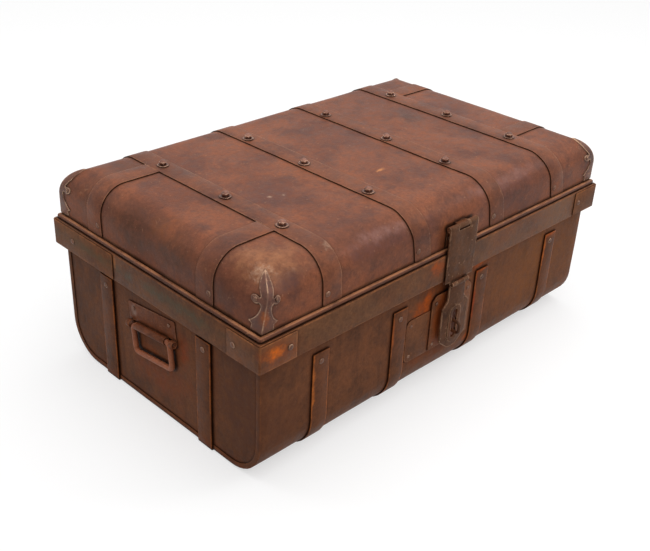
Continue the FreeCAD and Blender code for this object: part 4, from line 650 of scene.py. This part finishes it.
LID_TAN = tone(168, 111, 76)
PALE_METAL = tone(206, 174, 148)
LID_PLUM = tone(92, 60, 54)
LID_SHADE = tone(112, 74, 68)
LID_RUST = tone(142, 78, 40)
LID_STAINS_SHADE_AND_SHEEN = (
    ((-0.20, -0.05, 0.316), (0.05, 0.09, 0.02), LID_PLUM, 0.5, 16.0),
    ((0.05, 0.02, 0.316), (0.04, 0.12, 0.02), LID_PLUM, 0.4, 16.0),
    ((0.27, 0.02, 0.316), (0.09, 0.20, 0.02), LID_PLUM, 0.5, 12.0),
    ((0.197, 0.036, 0.316), (0.022, 0.030, 0.01), tone(84, 60, 50), 0.8, 50.0),
    ((-0.29, 0.16, 0.312), (0.05, 0.05, 0.02), tone(96, 62, 46), 0.7, 30.0),
    ((-0.012, -0.086, 0.316), (0.012, 0.005, 0.01), tone(226, 150, 92), 0.9, 170.0),
    ((-0.202, -0.050, 0.316), (0.0045, 0.0045, 0.01), PALE_METAL, 0.8, 500.0),
    ((-0.183, -0.058, 0.316), (0.003, 0.003, 0.01), PALE_METAL, 0.8, 500.0),
    # Darker over the whole left end of the lid.
    ((-0.371, 0.02, 0.276), (0.05, 0.22, 0.044), tone(84, 52, 36), 0.9, 14.0),
    ((-0.352, -0.02, 0.300), (0.03, 0.05, 0.022), tone(150, 86, 48), 0.55, 26.0),
    # Darker over the right end of the lid.
    ((0.360, -0.05, 0.285), (0.06, 0.24, 0.045), tone(88, 52, 36), 0.9, 12.0),
    ((-0.325, -0.185, 0.308), (0.07, 0.055, 0.035), LID_TAN, 1.0, 20.0),
    ((-0.315, -0.212, 0.290), (0.026, 0.02, 0.022), tone(96, 64, 58), 0.85, 30.0),
    ((-0.350, -0.196, 0.308), (0.026, 0.026, 0.012), PALE_METAL, 0.6, 190.0),
    ((-0.322, -0.216, 0.306), (0.026, 0.012, 0.006), PALE_METAL, 0.5, 190.0),
    ((-0.14, -0.220, 0.296), (0.12, 0.030, 0.022), LID_SHADE, 0.6, 22.0),
    # A painted sheen: a pale purplish highlight along the front roll.
    ((-0.14, -0.216, 0.305), (0.10, 0.020, 0.012), tone(160, 114, 102), 0.6, 40.0),
    ((0.13, -0.220, 0.296), (0.12, 0.030, 0.022), LID_SHADE, 0.55, 22.0),
    # The same painted sheen further along the front roll.
    ((0.13, -0.216, 0.304), (0.12, 0.020, 0.012), tone(150, 107, 97), 0.55, 40.0),
)
lid_paint = aged("lid_paint", paint=tone(115, 67, 48), faded=tone(138, 81, 55),
                 dark=tone(82, 51, 44), rust=LID_RUST, bare_and_highlight=tone(186, 134, 98), rust_share=0.30,
                 mottling=0.6, edge_width=0.004, edge_amount=0.6, gloss=0.14, spots=LID_STAINS_SHADE_AND_SHEEN,
                 scratch_size=45.0, scratched=0.3)
fix(lid_sheet, lid_paint, "lid", "lid_sheet", "lid_shell")

bead = copy_of("lid_wired_edge", "wired_edge")
warp(bead, "XYZ")
shade(bead)
bead_paint = aged("bead_paint", paint=tone(96, 56, 38), faded=tone(112, 66, 44),
                  dark=tone(62, 40, 32), rust=RUST_BROWN, bare_and_highlight=tone(196, 138, 96), rust_share=0.3,
                  mottling=0.7, edge_amount=0.0, gloss=0.2, scratch_size=60.0, scratched=0.4)

# The wired edge is painted lighter where it faces up: rubbed bare, and a painted highlight along its
# top.
BEAD_RUB_AND_HIGHLIGHT = tone(182, 122, 84)
n = Nodes(bead_paint.node_tree)
surface = n.add("ShaderNodeNewGeometry")
facing_up = n.add("ShaderNodeSeparateXYZ", {0: surface.outputs["Normal"]}).outputs["Z"]
place = n.add("ShaderNodeTexCoord").outputs["Object"]
broken = n.noise(place, scale=22.0, detail=6.0, roughness=0.7)
broken = n.ramp(broken, low=0.35, high=0.6, to_low=0.25, to_high=0.9)
top_rub_and_highlight = n.times(n.ramp(facing_up, low=0.55, high=0.9), broken)
base = bead_paint.node_tree.nodes["Principled BSDF"].inputs["Base Color"]
n.feed(base, n.mix(top_rub_and_highlight, base.links[0].from_socket, BEAD_RUB_AND_HIGHLIGHT))
fix(bead, bead_paint, "lid", "lid_sheet", "lid_wired_edge")

# ------------------------------------------------------------------ lid straps
# Four straps of thin iron over the lid from front to back, and two short ones down each end, painted
# with the lid and riveted at their ends. The front feet of some have been pushed to one side.
STRAP = 0.0016  # thickness
STRAP_ROUND = 0.0437
STRAP_WIDTH = 0.034
LEAN_DROP = 0.006  # how far below the lid's top a strap starts to lean


def lean_foot(piece, low, high):
    """In edit mode, draw the front foot of a strap sideways, as far as its box is wider than it."""
    lean = high.x - low.x - STRAP_WIDTH
    start = high.z - LEAN_DROP
    mesh = bmesh.from_edit_mesh(piece.data)
    foot = [v for v in mesh.verts if v.co.y < low.y + STRAP_ROUND and v.co.z < start]
    bpy.ops.mesh.select_mode(type="VERT")
    for row in sorted({round(v.co.z, 5) for v in foot}):
        bpy.ops.mesh.select_all(action="DESELECT")
        for vertex in foot:
            vertex.select_set(abs(vertex.co.z - row) < WELD)
        bmesh.update_edit_mesh(piece.data)
        bpy.ops.transform.translate(value=(lean * (start - row) / (start - low.z), 0.0, 0.0))


STRAP_STAINS_AND_GLINT = (
    # Pale on strap 1's front roll: worn metal, and a painted glint of light on it.
    ((-0.236, -0.196, 0.307), (0.016, 0.014, 0.010), PALE_METAL, 0.45, 140.0),
    ((-0.345, -0.116, 0.305), (0.03, 0.03, 0.02), LID_PLUM, 0.5, 40.0),
)
strap_paint = aged("strap_paint", paint=tone(111, 66, 47), faded=tone(133, 79, 54),
                   dark=tone(80, 50, 43), rust=LID_RUST, bare_and_highlight=tone(206, 148, 108), rust_share=0.30,
                   mottling=0.6, edge_amount=0.5, gloss=0.14, spots=STRAP_STAINS_AND_GLINT, scratch_size=45.0,
                   scratched=0.2)

for number in range(1, 5):
    low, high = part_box(f"lid_strap_{number}")
    strap = block(f"lid_band_{number}", low, Vector((low.x + STRAP_WIDTH, high.y, high.z)))
    bpy.ops.object.mode_set(mode="EDIT")
    roll_edges(strap, STRAP_ROUND, lambda at, way: along_x(way) and at.z > high.z - NEAR,
               steps=LID_STEPS)
    open_side(strap, lambda at, way: way.z < -STRAIGHT or along_x(way))
    divide(low, high)
    lean_foot(strap, low, high)
    bpy.ops.object.mode_set(mode="OBJECT")
    warp(strap, "XYZ")
    batter(strap)
    thicken(strap, STRAP, IRON_EDGE / 2)
    fix(strap, strap_paint, "lid", "strap_iron", f"lid_strap_{number}")

for side, inner in INWARDS.items():
    for depth in ("front", "back"):
        low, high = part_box(f"lid_end_strap_{depth}_{side}")
        strap = block(f"lid_end_band_{depth}_{side}", low, high)
        outer = low.x if side == "left" else high.x
        bpy.ops.object.mode_set(mode="EDIT")
        roll_edges(strap, STRAP_ROUND, lambda at, way: along_y(way) and at.z > high.z - NEAR
                   and abs(at.x - outer) < NEAR, steps=LID_STEPS)
        open_side(strap, lambda at, way: way.z < -STRAIGHT or way.x * inner > STRAIGHT or along_y(way))
        divide(low, high)
        bpy.ops.object.mode_set(mode="OBJECT")
        warp(strap, "XYZ")
        batter(strap)
        thicken(strap, STRAP, IRON_EDGE / 2)
        fix(strap, strap_paint, "lid", "strap_iron", f"lid_end_strap_{depth}_{side}")

# ------------------------------------------------------------------ rivets, studs and corner leaves
# Domed iron rivets hold hoops, straps and plates, and studs with domed hexagon heads on washers hold
# the lid straps. Pressed leaves of thin iron, riveted on, cover the lid's mitred corners.
# The pale edges of rivet heads, studs and washers are partly worn bare and partly painted highlights.
rivet_iron = aged("rivet_iron", paint=tone(98, 63, 47), faded=tone(114, 76, 58),
                  dark=tone(62, 42, 34), rust=RUST_BROWN, bare_and_highlight=tone(222, 178, 144), rust_share=0.35,
                  mottling=0.7, edge_width=0.002, edge_amount=0.9, bump=0.4, gloss=0.35,
                  corner_reach=0.007, metal=0.35)
stud_iron = aged("stud_iron", paint=tone(112, 72, 58), faded=tone(134, 92, 76),
                 dark=tone(64, 42, 36), rust=RUST_BROWN, bare_and_highlight=tone(240, 196, 166), rust_share=0.25,
                 mottling=0.7, edge_width=0.0018, edge_amount=1.1, bump=0.4, gloss=0.5,
                 corner_reach=0.004, shade_and_dirt=0.8, metal=0.55)

for node, name, body, metal in (
    ("rim_rivets", "rim_heads", "trunk", rivet_iron),
    ("body_hoop_rivets", "hoop_heads", "trunk", rivet_iron),
    ("body_small_rivets", "body_small_heads", "trunk", rivet_iron),
    ("lid_strap_rivets", "strap_heads", "lid", rivet_iron),
    ("lid_small_rivets", "lid_small_heads", "lid", rivet_iron),
    ("lid_stud_washers", "washers", "lid", stud_iron),
    ("lid_studs", "studs", "lid", stud_iron),
):
    heads = copy_of(node, name)
    warp(heads, "XY" if body == "trunk" else "XYZ")
    if body == "lid":
        batter(heads)
    ease(heads, IRON_EDGE / 2)
    fix(heads, metal, body, "rivet_iron", node)

LEAF_RUST = ((-0.366, -0.2255, 0.262), (0.010, 0.012, 0.020), tone(168, 88, 34), 0.8, 60.0)
# The leaves' pale outlines and ridges are partly rubbed bare and partly painted highlights.
leaf_paint = aged("leaf_paint", paint=tone(104, 64, 50), faded=tone(124, 78, 58),
                  dark=tone(74, 47, 42), rust=tone(150, 78, 34), bare_and_highlight=tone(232, 186, 150),
                  rust_share=0.5, mottling=0.8, edge_width=0.0027, edge_amount=1.2,
                  spots=[LEAF_RUST], gloss=0.25, shade_and_dirt=1.0, scratch_size=60.0, scratched=0.35)

for depth in ("front", "back"):
    for side in ("left", "right"):
        leaf = copy_of(f"lid_corner_leaf_{depth}_{side}", f"corner_leaf_{depth}_{side}")
        warp(leaf, "XYZ")
        batter(leaf)
        ease(leaf, IRON_EDGE / 2)
        fix(leaf, leaf_paint, "lid", "strap_iron", f"lid_corner_leaf_{depth}_{side}")

# ------------------------------------------------------------------ hinges, lock and handles
# Wrought iron: butt hinges at the back, the hasp of two leaves with its plates and staple at the
# front, and a handle of bent rod in a clip rolled round it at each end.
LINK_WARM = ((0.01, -0.237, 0.10), (0.05, 0.02, 0.05), tone(116, 76, 54), 0.75, 40.0)
iron = aged("wrought_iron", paint=tone(84, 54, 37), faded=tone(99, 65, 45), dark=tone(56, 37, 28),
            rust=RUST_BROWN, bare_and_highlight=tone(192, 148, 116), rust_share=0.35, mottling=0.7,
            edge_width=0.0034, edge_amount=1.2, bump=0.6, gloss=0.06, spots=[LINK_WARM],
            corner_reach=0.005, scratch_size=50.0, scratched=0.5)
rod_iron = aged("rod_iron", paint=tone(80, 52, 37), faded=tone(96, 63, 45), dark=tone(54, 36, 28),
                rust=RUST_BROWN, bare_and_highlight=tone(150, 108, 82), rust_share=0.25, mottling=0.5,
                edge_amount=0.2, bump=0.4, gloss=0.1, corner_reach=0.003, shade_and_dirt=0.8, scratched=0.1)
plate_iron = aged("plate_iron", paint=tone(112, 68, 42), faded=tone(124, 78, 50),
                  dark=tone(78, 50, 36), rust=RUST_ORANGE, bare_and_highlight=tone(184, 120, 76), rust_share=0.42,
                  mottling=0.6, edge_amount=0.9, bump=0.5, gloss=0.1, scratched=0.3)
CLIP_PALE = ((-0.3685, 0.050, 0.152), (0.02, 0.010, 0.012), tone(156, 122, 104), 0.8, 60.0)
clip_iron = aged("clip_iron", paint=tone(116, 66, 42), faded=tone(126, 73, 47),
                 dark=tone(82, 50, 37), rust=RUST_BROWN, bare_and_highlight=tone(176, 118, 84), rust_share=0.42,
                 mottling=0.6, edge_amount=0.6, bump=0.5, gloss=0.08, spots=[CLIP_PALE],
                 corner_reach=0.004, shade_and_dirt=0.6, scratched=0.25)
handle_iron = aged("handle_iron", paint=tone(148, 84, 56), faded=tone(160, 94, 64),
                   dark=tone(108, 64, 46), rust=RUST_BROWN, bare_and_highlight=tone(186, 134, 100),
                   rust_share=0.35, mottling=0.6, edge_amount=0.8, bump=0.5, gloss=0.2,
                   corner_reach=0.003, shade_and_dirt=0.7, scratched=0.4)

for node, body, metal in (
    ("left_hinge_body_leaf", "trunk", plate_iron),
    ("right_hinge_body_leaf", "trunk", plate_iron),
    ("left_hinge_pin", "trunk", iron),
    ("right_hinge_pin", "trunk", iron),
    ("left_hinge_lid_leaf", "lid", plate_iron),
    ("right_hinge_lid_leaf", "lid", plate_iron),
    ("hasp_hinge_plate", "lid", iron),
    ("hasp_top_pin", "lid", iron),
    ("hasp_leaf", "hasp_leaf", iron),
    ("hasp_link_pin", "hasp_leaf", rod_iron),
    ("hasp_link", "hasp_link", iron),
    ("hasp_staple", "trunk", rod_iron),
    ("staple_plate", "trunk", plate_iron),
    ("lock_backing_plate", "trunk", plate_iron),
    ("left_handle_clip", "trunk", clip_iron),
    ("right_handle_clip", "trunk", clip_iron),
    ("left_handle", "left_handle", handle_iron),
    ("right_handle", "right_handle", handle_iron),
):
    fitting = copy_of(node, f"{node}_iron")
    ease(fitting, IRON_EDGE)
    fix(fitting, metal, body, "hardware_iron", node)

# ------------------------------------------------------------------ floor, light and camera
# A pale floor that keeps the trunk's shadow, a white room, and soft lamps: a wide one overhead, a
# weak one in front, a window at each side and a hazy sun. The camera stands at the front left.
WHITE = (1.0, 1.0, 1.0, 1.0)
FLOOR_GREY = (0.5, 0.5, 0.5, 1.0)
FLOOR_SIZE = 40
FLOOR_LIFT = 0.58  # what is added to the floor for the eye
ROOM_LIGHT = 0.22  # what the white room lights the trunk with


def seen(n):
    """1 for the rays of the camera and for mirrored and clear ones, and 0 for those that light."""
    ray = n.add("ShaderNodeLightPath").outputs
    return n.larger(ray["Is Camera Ray"], n.larger(ray["Is Glossy Ray"], ray["Is Transmission Ray"]))


bpy.ops.object.select_all(action="DESELECT")
bpy.ops.mesh.primitive_plane_add(size=FLOOR_SIZE)
floor = bpy.context.object
floor.name = "floor"
floor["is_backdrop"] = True
floor_paint = bpy.data.materials.new("floor_paint")
floor_paint.use_nodes = True
nodes = floor_paint.node_tree.nodes
nodes.remove(nodes["Principled BSDF"])
n = Nodes(floor_paint.node_tree)
matt = n.add("ShaderNodeBsdfDiffuse", {"Color": FLOOR_GREY})
glow = n.add("ShaderNodeEmission", {"Color": WHITE, "Strength": n.times(seen(n), FLOOR_LIFT)})
both = n.add("ShaderNodeAddShader", {0: matt.outputs[0], 1: glow.outputs[0]})
n.feed(nodes["Material Output"].inputs["Surface"], both.outputs[0])
floor.data.materials.append(floor_paint)

world = bpy.data.worlds.new("studio")
bpy.context.scene.world = world
world.use_nodes = True
n = Nodes(world.node_tree)
sky = world.node_tree.nodes["Background"].inputs
n.feed(sky["Color"], WHITE)
n.feed(sky["Strength"], n.ramp(seen(n), low=0.0, high=1.0, to_low=ROOM_LIGHT))


def lamp(name, place, aim, size, watts):
    """A square soft lamp that looks at a point."""
    light = bpy.data.lights.new(name, "AREA")
    light.shape = "SQUARE"
    light.size = size
    light.energy = watts
    stand = bpy.data.objects.new(name, light)
    bpy.context.scene.collection.objects.link(stand)
    stand.location = place
    stand.rotation_euler = (Vector(aim) - Vector(place)).to_track_quat("-Z", "Y").to_euler()


lamp("overhead", place=(0.2, -0.1, 2.4), aim=(0.0, 0.0, 0.2), size=2.2, watts=14.0)
lamp("front_fill", place=(-0.6, -2.6, 1.3), aim=(0.0, 0.0, 0.15), size=1.6, watts=5.0)
lamp("front_window", place=(1.6, -1.3, 1.6), aim=(0.0, 0.0, 0.3), size=0.7, watts=7.0)
lamp("back_window", place=(-1.3, 1.6, 1.65), aim=(0.0, 0.0, 0.3), size=0.7, watts=5.0)

SUN_STRENGTH = 1.5
SUN_HAZE = math.radians(110)
SUN_TILT = (math.radians(8), math.radians(6), 0.0)
soft_sun = bpy.data.lights.new("soft_sun", "SUN")
soft_sun.energy = SUN_STRENGTH
soft_sun.angle = SUN_HAZE
sun = bpy.data.objects.new("soft_sun", soft_sun)
bpy.context.scene.collection.objects.link(sun)
sun.rotation_euler = SUN_TILT

CAMERA_PLACE = Vector((-1.0332, -0.9635, 0.8887))
CAMERA_WAY = Vector((0.6279, 0.6036, -0.4913)).normalized()
CAMERA_ROLL = math.radians(2.76)
LENS = 53.77
SENSOR = 36.0
level = CAMERA_WAY.cross(Vector((0, 0, 1))).normalized()
upwards = level.cross(CAMERA_WAY)
right = level * math.cos(CAMERA_ROLL) + upwards * math.sin(CAMERA_ROLL)
up = right.cross(CAMERA_WAY)
camera = bpy.data.objects.new("camera", bpy.data.cameras.new("camera"))
bpy.context.scene.collection.objects.link(camera)
camera.data.lens = LENS
camera.data.sensor_width = SENSOR
camera.matrix_world = Matrix((
    (right.x, up.x, -CAMERA_WAY.x, CAMERA_PLACE.x),
    (right.y, up.y, -CAMERA_WAY.y, CAMERA_PLACE.y),
    (right.z, up.z, -CAMERA_WAY.z, CAMERA_PLACE.z),
    (0.0, 0.0, 0.0, 1.0),
))
bpy.context.scene.camera = camera
bpy.context.scene.view_settings.view_transform = "Standard"

low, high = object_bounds()
